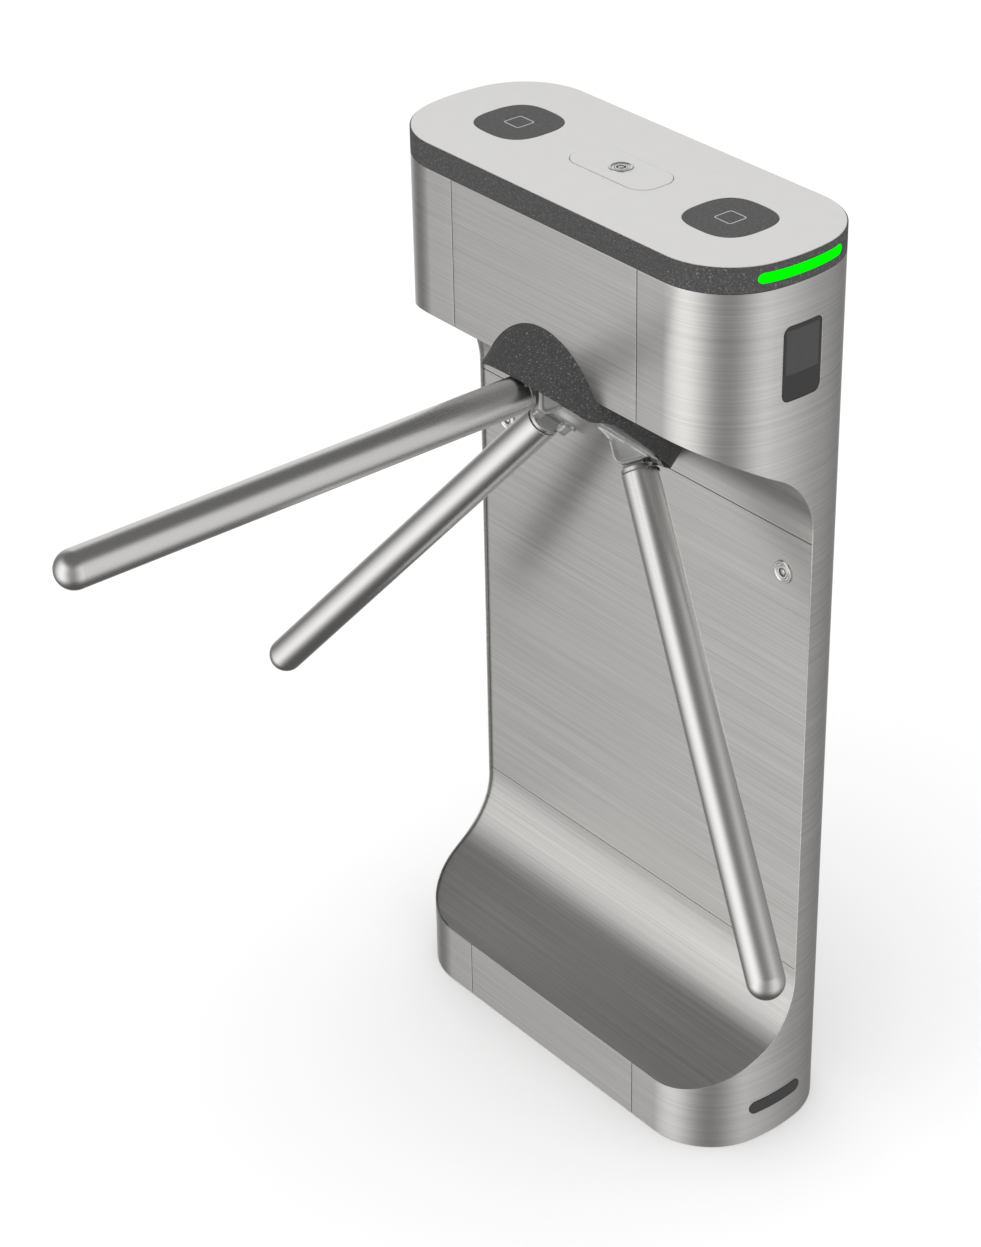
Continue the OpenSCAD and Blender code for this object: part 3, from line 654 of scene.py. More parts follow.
@dataclass(frozen=True)
class Plan:
    """Plan outline: straight sides, round corners and slightly bowed ends."""

    half_l: float = 248.0
    half_w: float = 98.0
    corner_r: float = 78.0
    end_r: float = 204.0
    side_steps: int = 4
    curve_steps: int = 141
    clear: float = 0.7

    @property
    def end_x(self) -> float:
        """X of the centre of the bowed end."""
        return self.half_l - self.end_r

    @property
    def corner_y(self) -> float:
        """Y of the centre of a corner."""
        return self.half_w - self.corner_r

    @property
    def corner_dx(self) -> float:
        """Distance along X between the centres of a corner and an end."""
        return math.sqrt((self.end_r - self.corner_r) ** 2 - self.corner_y ** 2)

    @property
    def corner_x(self) -> float:
        """X of the centre of a corner."""
        return self.end_x + self.corner_dx

    @property
    def end_phi(self) -> float:
        """Angle of the point where the corner meets the end."""
        return math.atan2(self.corner_y, self.corner_dx)

    def reach(self, y: np.ndarray, inset: float) -> np.ndarray:
        """Gives the outline's half length, by the circle that it follows at each depth.

        On each circle it is the centre plus the root of the radius squared less the depth squared.

        Args:
            y: Depth of each point.
            inset: Distance that the outline is drawn in by.

        Returns:
            The half length at each depth.
        """
        end = self.end_r - inset
        corner = self.corner_r - inset
        bowed = self.end_x + np.sqrt(np.maximum(end ** 2 - y ** 2, 0.0))
        aside = np.maximum(np.abs(y) - self.corner_y, 0.0)
        round_part = self.corner_x + np.sqrt(np.maximum(corner ** 2 - aside ** 2, 0.0))
        return np.where(np.abs(y) < end * math.sin(self.end_phi), bowed, round_part)

    def run_at(self, y: np.ndarray) -> np.ndarray:
        """Gives the length along the outline from the nose: on each arc, its radius times the angle passed.

        Args:
            y: Depth of each point.

        Returns:
            The length to each point, with the sign of its depth.
        """
        split = self.end_r * math.sin(self.end_phi)
        on_end = self.end_r * np.arcsin(np.clip(np.abs(y) / self.end_r, 0.0, 1.0))
        aside = np.clip((np.abs(y) - self.corner_y) / self.corner_r, 0.0, 1.0)
        on_corner = self.end_r * self.end_phi + self.corner_r * (np.arcsin(aside) - self.end_phi)
        return np.sign(y) * np.where(np.abs(y) <= split, on_end, on_corner)

    def stations(self, start_x: float, marks: np.ndarray) -> Stations:
        """Lays stations round the near end, from the back at start_x to the front at start_x.

        Args:
            start_x: X where the stations start and end.
            marks: Depths that get a station of their own.

        Returns:
            The stations, about 2 mm apart on the curves.
        """
        corner_end = float(self.run_at(np.array([self.half_w]))[0])
        side = self.corner_x - start_x
        plain = np.concatenate([np.linspace(corner_end + side, corner_end, self.side_steps),
                                np.linspace(corner_end, -corner_end, self.curve_steps)[1:-1],
                                np.linspace(-corner_end, -corner_end - side, self.side_steps)])
        if len(marks):
            wanted = self.run_at(marks)
            gap = np.abs(plain[:, None] - wanted[None, :]).min(1)
            near_seam = np.abs(plain) >= corner_end - 1e-6
            plain = np.concatenate([plain[(gap > self.clear) | near_seam], wanted])
        run = np.unique(np.round(plain, 5))[::-1]
        size = np.abs(run)
        sign = np.where(run >= 0, 1.0, -1.0)
        end_run = self.end_r * self.end_phi
        on_end = size <= end_run
        on_side = size > corner_end
        angle = np.where(on_end, size / self.end_r, self.end_phi + (size - end_run) / self.corner_r)
        angle = np.where(on_side, math.pi / 2, angle) * sign
        side_x = self.corner_x - (size - corner_end)
        centre_x = np.where(on_end, self.end_x, np.where(on_side, side_x, self.corner_x))
        centre_y = np.where(on_end, 0.0, self.corner_y) * sign
        radius = np.where(on_end, self.end_r, self.corner_r)
        return Stations(grid(centre_x, centre_y), radius, angle, run[0] - run)

    def loop(self, marks: np.ndarray) -> Stations:
        """Lays stations round the whole outline, closed on itself: the near end, then its mirror image.

        Args:
            marks: Depths that get a station of their own.

        Returns:
            The stations.
        """
        near = self.stations(0.0, marks)
        far = near.mirrored()
        centre = np.concatenate([near.centre, far.centre[1:]])
        radius = np.concatenate([near.radius, far.radius[1:]])
        angle = np.concatenate([near.angle, far.angle[1:]])
        return Stations(centre, radius, angle, np.concatenate([near.run, near.run[-1] + far.run[1:]]))


@dataclass(frozen=True)
class RoundedHole:
    """Rounded rectangle on an end wall, as seen along X."""

    width: float
    height: float
    corner: float
    middle_z: float

    def marks(self) -> np.ndarray:
        """Gives the depths that the hole's outline needs: points of its corners by even angles."""
        side = self.width / 2 - self.corner + self.corner * np.sin(np.linspace(0.0, math.pi / 2, 9))
        return np.concatenate([side, -side])

    def half_height(self, y: np.ndarray) -> np.ndarray:
        """Gives the hole's half height at depth y, or its upright edges' half height outside it."""
        aside = np.clip(np.abs(y) - (self.width / 2 - self.corner), 0.0, self.corner)
        return self.height / 2 - self.corner + np.sqrt(self.corner ** 2 - aside ** 2)


# Mesh building


def grid(*parts: Numbers) -> np.ndarray:
    """Spreads coordinates to one grid and stacks them along a last axis."""
    return np.stack(np.broadcast_arrays(*parts), -1)


def between(low: Numbers, high: Numbers, rows: int) -> np.ndarray:
    """Gives rows of values that go from low to high by even shares."""
    share = np.linspace(0.0, 1.0, rows)[:, None]
    return low * (1 - share) + high * share


def run_along(line: np.ndarray) -> np.ndarray:
    """Gives the length along a flat line at each of its points: the sum of the steps before it."""
    return np.concatenate([[0.0], np.cumsum(np.hypot(*np.diff(line, axis=0).T))])


def placed(name: str, data: bpy.types.ID) -> bpy.types.Object:
    """Makes an object of a mesh, curve, lamp or camera, and links it to the scene.

    Args:
        name: The object's name.
        data: What it shows.

    Returns:
        The object.
    """
    thing = bpy.data.objects.new(name, data)
    bpy.context.scene.collection.objects.link(thing)
    return thing


def modify(piece: bpy.types.Object, kind: str, **settings: object) -> None:
    """Adds a modifier.

    Args:
        piece: The piece.
        kind: The modifier's type.
        settings: Its properties.
    """
    modifier = piece.modifiers.new(kind.lower(), kind)
    for name, value in settings.items():
        setattr(modifier, name, value)


def settle(piece: bpy.types.Object) -> None:
    """Applies a piece's modifiers into its mesh.

    Args:
        piece: The piece.
    """
    bpy.context.view_layer.update()
    graph = bpy.context.evaluated_depsgraph_get()
    evaluated = piece.evaluated_get(graph)
    mesh = bpy.data.meshes.new_from_object(evaluated, preserve_all_data_layers=True, depsgraph=graph)
    piece.modifiers.clear()
    old = piece.data
    piece.data = mesh
    mesh.name = piece.name
    bpy.data.meshes.remove(old)


def weld(mesh: bpy.types.Mesh, closed: bool, tiny: float = 0.0) -> None:
    """Merges a mesh's doubles, and then mends its faces.

    Args:
        mesh: The mesh.
        closed: True if it closes a solid, whose faces are then turned outwards.
        tiny: Length in metres under which an edge is dissolved, or 0 to keep all edges.
    """
    work = bmesh.new()
    work.from_mesh(mesh)
    bmesh.ops.remove_doubles(work, verts=work.verts, dist=WELD)
    if tiny:
        bmesh.ops.dissolve_degenerate(work, edges=work.edges, dist=tiny)
    if closed:
        bmesh.ops.recalc_face_normals(work, faces=work.faces)
    work.to_mesh(mesh)
    work.free()


def smoothed(piece: bpy.types.Object, sharp: float, weighted: bool = True) -> bpy.types.Object:
    """Shades a piece smooth between its sharp edges.

    Args:
        piece: The piece.
        sharp: Angle in degrees past which an edge stays sharp.
        weighted: True if large faces are to rule the normals.

    Returns:
        The piece, with no live modifiers.
    """
    piece.data.polygons.foreach_set("use_smooth", np.ones(len(piece.data.polygons), bool))
    piece.data.set_sharp_from_angle(angle=math.radians(sharp))
    if weighted:
        modify(piece, "WEIGHTED_NORMAL", keep_sharp=True)
        settle(piece)
    return piece


class Patchwork:
    """Patches of surface on grids, gathered into one mesh."""

    def __init__(self) -> None:
        """Starts with no patches."""
        self.points: list[np.ndarray] = []
        self.uv: list[np.ndarray] = []
        self.faces: list[np.ndarray] = []
        self.count = 0

    def add(self, points: np.ndarray, inside: Sequence[float] | None = None,
            uv: np.ndarray | None = None) -> None:
        """Adds one grid of points.

        Args:
            points: Points of the grid, rows by columns by three, in millimetres.
            inside: A point that most of the faces look away from.
            uv: Length along and across the surface at each point, in millimetres.
        """
        rows, columns = points.shape[:2]
        index = np.arange(rows * columns).reshape(rows, columns)
        quads = np.stack([index[:-1, :-1], index[1:, :-1], index[1:, 1:], index[:-1, 1:]], -1).reshape(-1, 4)
        flat = points.reshape(-1, 3)
        if inside is not None:
            corner = flat[quads]
            normal = np.cross(corner[:, 2] - corner[:, 0], corner[:, 3] - corner[:, 1])
            away = corner.mean(1) - np.asarray(inside, float)
            if (normal * away).sum() < 0:
                quads = quads[:, ::-1]
        if uv is None:
            uv = np.zeros((rows, columns, 2))
        self.points.append(flat)
        self.uv.append(uv.reshape(-1, 2))
        self.faces.append(quads + self.count)
        self.count += len(flat)

    def wall(self, run: Stations, low: np.ndarray, high: np.ndarray, rows: int, inside: Sequence[float],
             end: int = 1) -> None:
        """Adds an upright wall on the plan outline: each point is the outline's, at a share of the height.

        Args:
            run: Stations along the outline.
            low: Height of the wall's foot at each station.
            high: Height of its top at each station.
            rows: Number of rows of faces.
            inside: A point that the faces look away from.
            end: 1 for the near end, or -1 to mirror the wall to the far end.
        """
        flat = run.at(0.0)
        z = between(low, high, rows + 1)
        self.add(grid(flat[:, 0] * end, flat[:, 1], z), inside, grid(run.run, z))

    def revolve(self, profile: Sequence[Sequence[float]], place: Place, steps: int,
                inside: Sequence[float] | None = None, mapped: bool = False) -> None:
        """Adds a profile turned about a place's Z axis: radius times cosine and sine, and height.

        Args:
            profile: Radius and height of each point.
            place: Where the axis stands.
            steps: Number of steps round it.
            inside: A point that most of the faces look away from.
            mapped: True if UV runs along the profile and round it.
        """
        line = np.asarray(profile, float)
        turn = np.linspace(0.0, 2 * math.pi, steps + 1)
        radius, height = line[:, :1], line[:, 1:2]
        uv = grid(run_along(line)[:, None], turn * max(float(radius.max()), 1.0)) if mapped else None
        self.add(place.world(grid(radius * np.cos(turn), radius * np.sin(turn), height)), inside, uv)

    def prism(self, outline: np.ndarray, low: float, high: float, place: Place) -> None:
        """Adds a closed prism: an outline carried along a place's Z, with its ends drawn in to a point.

        Args:
            outline: Points in X and Y of the place.
            low: Height of one end.
            high: Height of the other end.
            place: Where the prism stands.
        """
        line = np.concatenate([outline, outline[:1]])
        middle = outline.mean(0)
        rows = [grid(flat[..., 0], flat[..., 1], np.full(len(line), z))
                for flat, z in ((middle, low), (line, low), (line, high), (middle, high))]
        self.add(place.world(np.stack(rows)))

    def block(self, low: Sequence[float], high: Sequence[float], place: Place) -> None:
        """Adds the six faces of a block.

        Args:
            low: Lowest corner in the place.
            high: Highest corner in the place.
            place: Where the block stands.
        """
        for axis in range(3):
            first, second = [i for i in range(3) if i != axis]
            for end in (low[axis], high[axis]):
                local = np.zeros((2, 2, 3))
                local[..., axis] = end
                local[..., first] = np.array([low[first], high[first]])
                local[..., second] = np.array([[low[second]], [high[second]]])
                self.add(place.world(local))

    def build(self, name: str, wall: float = 0.0, bevel: float = 0.0, closed: bool = False,
              sharp: float = 38.0, blend: float = 0.0) -> bpy.types.Object:
        """Makes the mesh and finishes its edges.

        Args:
            name: The piece's name.
            wall: Thickness given to an open sheet, in millimetres.
            bevel: Width of the small bevel on every sharp edge, in millimetres.
            closed: True if the patches close a solid, whose faces are then turned outwards.
            sharp: Angle in degrees past which an edge stays sharp.
            blend: Voxel size in millimetres that overlapping solids are run together with, or 0.

        Returns:
            The piece, with no live modifiers.
        """
        mesh = bpy.data.meshes.new(name)
        faces = np.concatenate(self.faces)
        mesh.from_pydata((np.concatenate(self.points) * METRE).tolist(), [], faces.tolist())
        layer = mesh.uv_layers.new(name="UVMap")
        layer.data.foreach_set("uv", (np.concatenate(self.uv)[faces.reshape(-1)] * METRE).reshape(-1))
        weld(mesh, closed, WELD / 2)
        piece = placed(name, mesh)
        if blend:
            modify(piece, "REMESH", mode="VOXEL", voxel_size=blend * METRE)
            modify(piece, "SMOOTH", factor=0.5, iterations=5)
        if wall:
            modify(piece, "SOLIDIFY", thickness=wall * METRE, offset=-1.0, use_even_offset=True)
        if bevel:
            modify(piece, "BEVEL", width=bevel * METRE, segments=2, limit_method="ANGLE",
                   angle_limit=math.radians(40.0), use_clamp_overlap=False)
        settle(piece)
        return smoothed(piece, sharp, weighted=not blend)


def rounded_outline(width: float, height: float, corner: float, steps: int = 12) -> np.ndarray:
    """Gives a rounded rectangle as a closed run of points: a quarter circle at each corner.

    Args:
        width: Size along the first axis.
        height: Size along the second axis.
        corner: Radius of the corners.
        steps: Steps in each corner.

    Returns:
        The points, anticlockwise.
    """
    turn = np.radians(np.linspace(0.0, 90.0, steps + 1)[None, :] + 90.0 * np.arange(4)[:, None])
    side = np.array([1, -1, -1, 1])[:, None] * (width / 2 - corner)
    up = np.array([1, 1, -1, -1])[:, None] * (height / 2 - corner)
    return grid(side + corner * np.cos(turn), up + corner * np.sin(turn)).reshape(-1, 2)


def bulged_square(half: float, power: float = 2.8, steps: int = 120) -> np.ndarray:
    """Gives a square with bulged sides: |x|^power + |y|^power = half^power.

    Args:
        half: Half of its width.
        power: 2 gives a circle, and more gives squarer corners.
        steps: Number of points.

    Returns:
        The points, anticlockwise.
    """
    turn = np.linspace(0.0, 2 * math.pi, steps, endpoint=False)
    c, s = np.cos(turn), np.sin(turn)
    return half * grid(np.sign(c) * np.abs(c) ** (2 / power), np.sign(s) * np.abs(s) ** (2 / power))


def plate(name: str, outlines: Sequence[np.ndarray], low: float, high: float, bevel: float,
          centre: Sequence[float] = (0.0, 0.0)) -> bpy.types.Object:
    """Makes a level plate from outlines; an outline inside another is a hole.

    Args:
        name: The piece's name.
        outlines: Closed outlines in X and Y, in millimetres.
        low: Height of its underside.
        high: Height of its top.
        bevel: Width of the bevel round its edges.
        centre: Where the outlines' origin stands.

    Returns:
        The plate.
    """
    curve = bpy.data.curves.new(name, "CURVE")
    curve.dimensions = "2D"
    curve.fill_mode = "BOTH"
    curve.extrude = ((high - low) / 2 - bevel) * METRE
    curve.bevel_depth = bevel * METRE
    curve.bevel_resolution = 1
    curve.offset = -bevel * METRE
    for outline in outlines:
        spline = curve.splines.new("POLY")
        spline.points.add(len(outline) - 1)
        flat = (outline + np.asarray(centre)) * METRE
        spline.points.foreach_set("co", grid(flat[:, 0], flat[:, 1], 0.0, 1.0).reshape(-1))
        spline.use_cyclic_u = True
    drawn = placed(name + ".drawn", curve)
    bpy.context.view_layer.update()
    graph = bpy.context.evaluated_depsgraph_get()
    mesh = bpy.data.meshes.new_from_object(drawn.evaluated_get(graph), depsgraph=graph)
    bpy.data.objects.remove(drawn)
    bpy.data.curves.remove(curve)
    weld(mesh, closed=True)
    mesh.transform(Matrix.Translation((0.0, 0.0, (low + high) / 2 * METRE)))
    mesh.name = name
    return smoothed(placed(name, mesh), CRISP)


def dress(piece: bpy.types.Object, finish: Finish, body: str, *nodes: str) -> None:
    """Gives a piece its finish and body, and the CAD nodes it stands for.

    Args:
        piece: The finished piece.
        finish: Its finish.
        body: The CAD body it moves with.
        nodes: CAD nodes that it replaces.
    """
    piece.data.materials.clear()
    piece.data.materials.append(finish.material())
    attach(piece, body)
    if nodes:
        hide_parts(*nodes)
    LOG.info("%s: %d faces, rides on %s", piece.name, len(piece.data.polygons), body)


# Sub-assemblies


@dataclass
class Housing:
    """Stainless housing: two end shells, the flat panels, and the two liners of the recess."""

    plan: Plan = field(default_factory=Plan)
    rotor: Rotor = field(default_factory=Rotor)
    sheet: float = 1.5
    seam_x: float = 133.0
    seam_gap: float = 0.8
    band_z: float = 974.0
    recess_y: float = 22.8
    recess_r: float = 87.0
    slope: float = 28.6
    head_z: float = 818.5
    base_z: float = 67.5
    lip: float = 3.0
    fit: float = 0.3
    door_top: float = 690.5
    door_low: float = 191.5
    cup_r: float = 104.0
    edge: float = 0.45
    liner_edge: float = 0.2
    display: RoundedHole = field(default_factory=lambda: RoundedHole(47.6, 75.6, 8.0, 895.0))

    @property
    def arc_end(self) -> float:
        """Angle at which the recess fillet turns into its straight slope."""
        return math.radians(90.0 - self.slope)

    @property
    def total_rise(self) -> float:
        """Height of the recess profile from its upright to the front."""
        flat = self.plan.half_w + self.recess_y - self.recess_r * (1 - math.cos(self.arc_end))
        return self.recess_r * math.sin(self.arc_end) + flat * math.tan(math.radians(self.slope))

    @property
    def fillet_top(self) -> float:
        """Height where the upper fillet starts."""
        return self.head_z - self.total_rise

    @property
    def fillet_low(self) -> float:
        """Height where the lower fillet starts."""
        return self.base_z + self.total_rise

    @property
    def panel_half(self) -> float:
        """Half width of the flat panels between the end shells."""
        return self.seam_x - self.seam_gap / 2

    @property
    def panel_top(self) -> float:
        """Height of the upper edge of the shells and panels, under the ring."""
        return self.band_z - self.seam_gap / 2

    def rise(self, y: np.ndarray) -> np.ndarray:
        """Gives how far the recess edge has risen: a circle's sine along the arc, then a slope to the front.

        Args:
            y: Depth of each point.

        Returns:
            The rise at each depth, 0 behind the recess.
        """
        end_y = self.recess_y - self.recess_r * (1 - math.cos(self.arc_end))
        turn = np.arccos(np.clip((y - self.recess_y + self.recess_r) / self.recess_r, -1.0, 1.0))
        on_arc = self.recess_r * np.sin(turn)
        on_slope = self.recess_r * math.sin(self.arc_end) + (end_y - y) * math.tan(math.radians(self.slope))
        return np.where(y >= self.recess_y, 0.0, np.where(y >= end_y, on_arc, on_slope))

    def shell(self, end: int) -> bpy.types.Object:
        """Makes one end shell as walls between heights along the plan outline.

        Args:
            end: 1 for the near end and -1 for the far end.

        Returns:
            The shell.
        """
        turn = np.linspace(0.0, self.arc_end, 20)
        edge_marks = self.recess_y - self.recess_r * (1 - np.cos(turn))
        marks = np.concatenate([edge_marks, self.display.marks()])
        stations = self.plan.stations(self.seam_x + self.seam_gap / 2, marks)
        depth = stations.depth
        behind = depth > self.recess_y - SLACK
        whole = np.ones(len(depth), bool)
        floor = np.zeros_like(depth)
        rise = np.where(behind, 0.0, self.rise(depth))
        half = self.display.half_height(depth)
        beside = self.display.width / 2 - SLACK
        over, under = self.display.middle_z + half, self.display.middle_z - half
        patches = Patchwork()
        bands = [(self.fillet_top + rise, under, 6, whole), (over, floor + self.panel_top, 3, whole),
                 (under, over, 3, depth >= beside), (under, over, 3, depth <= -beside),
                 (floor + self.fillet_low, floor + self.fillet_top, 12, behind),
                 (floor, self.fillet_low - rise, 6, whole)]
        for low, high, rows, keep in bands:
            patches.wall(stations.kept(keep), low[keep], high[keep], rows, (end * 120.0, 0.0, 500.0), end)
        name = "near_shell_skin" if end > 0 else "far_shell_skin"
        return patches.build(name, wall=self.sheet, bevel=self.edge)

    def panel(self, name: str, y: float, low: np.ndarray, high: float,
              across: np.ndarray) -> bpy.types.Object:
        """Makes a flat upright panel whose lower edge follows a line.

        Args:
            name: The piece's name.
            y: Depth of its outer face.
            low: Height of its lower edge at each column.
            high: Height of its upper edge.
            across: X of each column.

        Returns:
            The panel.
        """
        z = between(low, high, 5)
        patches = Patchwork()
        patches.add(grid(across, y, z), (0.0, 0.0, 500.0), grid(across, z))
        return patches.build(name, wall=self.sheet, bevel=self.edge)

    def head_front(self) -> bpy.types.Object:
        """Makes the head's front panel, whose lower edge arches over the cup where the cup cuts its plane.

        Returns:
            The panel.
        """
        front = -self.plan.half_w
        reach = self.cup_r + self.fit
        edge = math.sqrt(reach ** 2 - self.rotor.up(front, self.head_z) ** 2)
        side = self.panel_half
        arch = edge * np.sin(np.linspace(-math.pi / 2, math.pi / 2, 61))
        across = np.concatenate([np.linspace(-side, -edge, 6)[:-1], arch, np.linspace(edge, side, 6)[1:]])
        up = np.sqrt(np.maximum(reach ** 2 - across ** 2, 0.0)) - self.rotor.up(front, self.rotor.apex_z)
        height = up / self.rotor.place.y[2] + self.rotor.apex_z
        low = np.where(np.abs(across) < edge - 1e-6, np.maximum(height, self.head_z), self.head_z)
        return self.panel("head_front_skin", front, low, self.panel_top, across)

    def liner(self, side: int) -> bpy.types.Object:
        """Makes a recess liner: its profile is carried across, to just inside the shells.

        Args:
            side: 1 for the underside of the head and -1 for the step.

        Returns:
            The liner.
        """
        reach = self.recess_r + self.lip
        turn = np.linspace(0.0, self.arc_end, 25)
        y = self.recess_y - self.recess_r + reach * np.cos(turn)
        rise = reach * np.sin(turn)
        front = -self.plan.half_w + self.sheet + self.fit
        line_y = np.linspace(y[-1], front, 14)[1:]
        line_rise = rise[-1] + (y[-1] - line_y) * math.tan(math.radians(self.slope))
        start = self.door_top + self.seam_gap / 2 if side > 0 else self.door_low - self.seam_gap / 2
        base = self.fillet_top if side > 0 else self.fillet_low
        z = np.concatenate([[start], base + side * rise, base + side * line_rise])
        y = np.concatenate([[y[0]], y, line_y])
        along = run_along(grid(y, z))[:, None]
        wide = self.plan.reach(y, self.sheet + self.fit)
        inner = np.zeros_like(y)
        if side > 0:
            inner = np.sqrt(np.maximum((self.cup_r + self.fit) ** 2 - self.rotor.up(y, z) ** 2, 0.0))
        behind = (0.0, 60.0, 860.0 if side > 0 else 40.0)
        patches = Patchwork()
        for way in (-1.0, 1.0):
            x = way * between(inner, wide, 25).T
            patches.add(grid(x, y[:, None], z[:, None]), behind, grid(x, along))
        name = "head_liner_skin" if side > 0 else "step_liner_skin"
        return patches.build(name, wall=self.sheet, bevel=self.liner_edge)

    def build(self) -> None:
        """Builds and dresses the housing."""
        across = np.linspace(-self.panel_half, self.panel_half, 9)
        foot = np.zeros(9)
        front, back = -self.plan.half_w, self.plan.half_w
        rows = [(self.shell(1), Finishes.sheet, "near_end_shell"),
                (self.shell(-1), Finishes.sheet, "far_end_shell"),
                (self.head_front(), Finishes.sheet, "head_front_panel"),
                (self.panel("base_front_skin", front, foot, self.base_z, across), Finishes.sheet,
                 "base_front_panel"),
                (self.panel("back_skin", back, foot, self.panel_top, across), Finishes.sheet, "back_panel"),
                (self.liner(1), Finishes.liner, "head_underside_panel"),
                (self.liner(-1), Finishes.liner, "step_panel")]
        for piece, finish, node in rows:
            dress(piece, finish, "pedestal", node)


@dataclass
class EndFittings:
    """Pieces set in the end walls: status lights, display windows and the blank name plate."""

    plan: Plan = field(default_factory=Plan)
    light: RoundedHole = field(default_factory=lambda: RoundedHole(102.0, 10.5, 5.25, 986.5))
    display: RoundedHole = field(default_factory=lambda: RoundedHole(47.0, 75.0, 8.0, 895.0))
    name_plate: RoundedHole = field(default_factory=lambda: RoundedHole(70.0, 15.0, 7.5, 41.5))
    light_inset: float = 0.15
    light_t: float = 3.0
    display_inset: float = 0.35
    display_t: float = 2.4
    name_plate_t: float = 0.95
    edge: float = 0.3

    def inlay(self, name: str, shape: RoundedHole, inset: float, thickness: float,
              end: int) -> bpy.types.Object:
        """Makes a plate that follows the end wall inside a rounded outline.

        Args:
            name: The piece's name.
            shape: Its outline as seen along X.
            inset: Distance of its face behind the wall, negative where it stands proud.
            thickness: Its thickness.
            end: 1 for the near end and -1 for the far end.

        Returns:
            The inlay.
        """
        turn = np.radians(np.linspace(0.0, 90.0, 13))
        edge = shape.width / 2 - shape.corner + shape.corner * np.sin(turn)
        flat = np.linspace(-edge[0], edge[0], 15)
        y = np.concatenate([-edge[::-1], flat[1:-1], edge])
        z = shape.middle_z + shape.half_height(y) * np.linspace(-1.0, 1.0, 7)[:, None]
        patches = Patchwork()
        points = grid(self.plan.reach(y, inset) * end, y, z)
        patches.add(points, (end * 100.0, 0.0, shape.middle_z), grid(y, z))
        return patches.build(name, wall=thickness, bevel=self.edge)

    def build(self) -> None:
        """Builds and dresses the fittings of both ends."""
        for end, side in ((1, "near"), (-1, "far")):
            lens = self.inlay(f"status_lens_{side}", self.light, self.light_inset, self.light_t, end)
            dress(lens, Finishes.lens, "pedestal", f"status_light_{side}")
            glass = self.inlay(f"display_glass_{side}", self.display, self.display_inset, self.display_t, end)
            dress(glass, Finishes.glass, "pedestal", f"display_window_{side}")
        blank = self.inlay("name_plate_blank", self.name_plate, -self.name_plate_t, self.name_plate_t, 1)
        dress(blank, Finishes.badge, "pedestal", "name_plate")


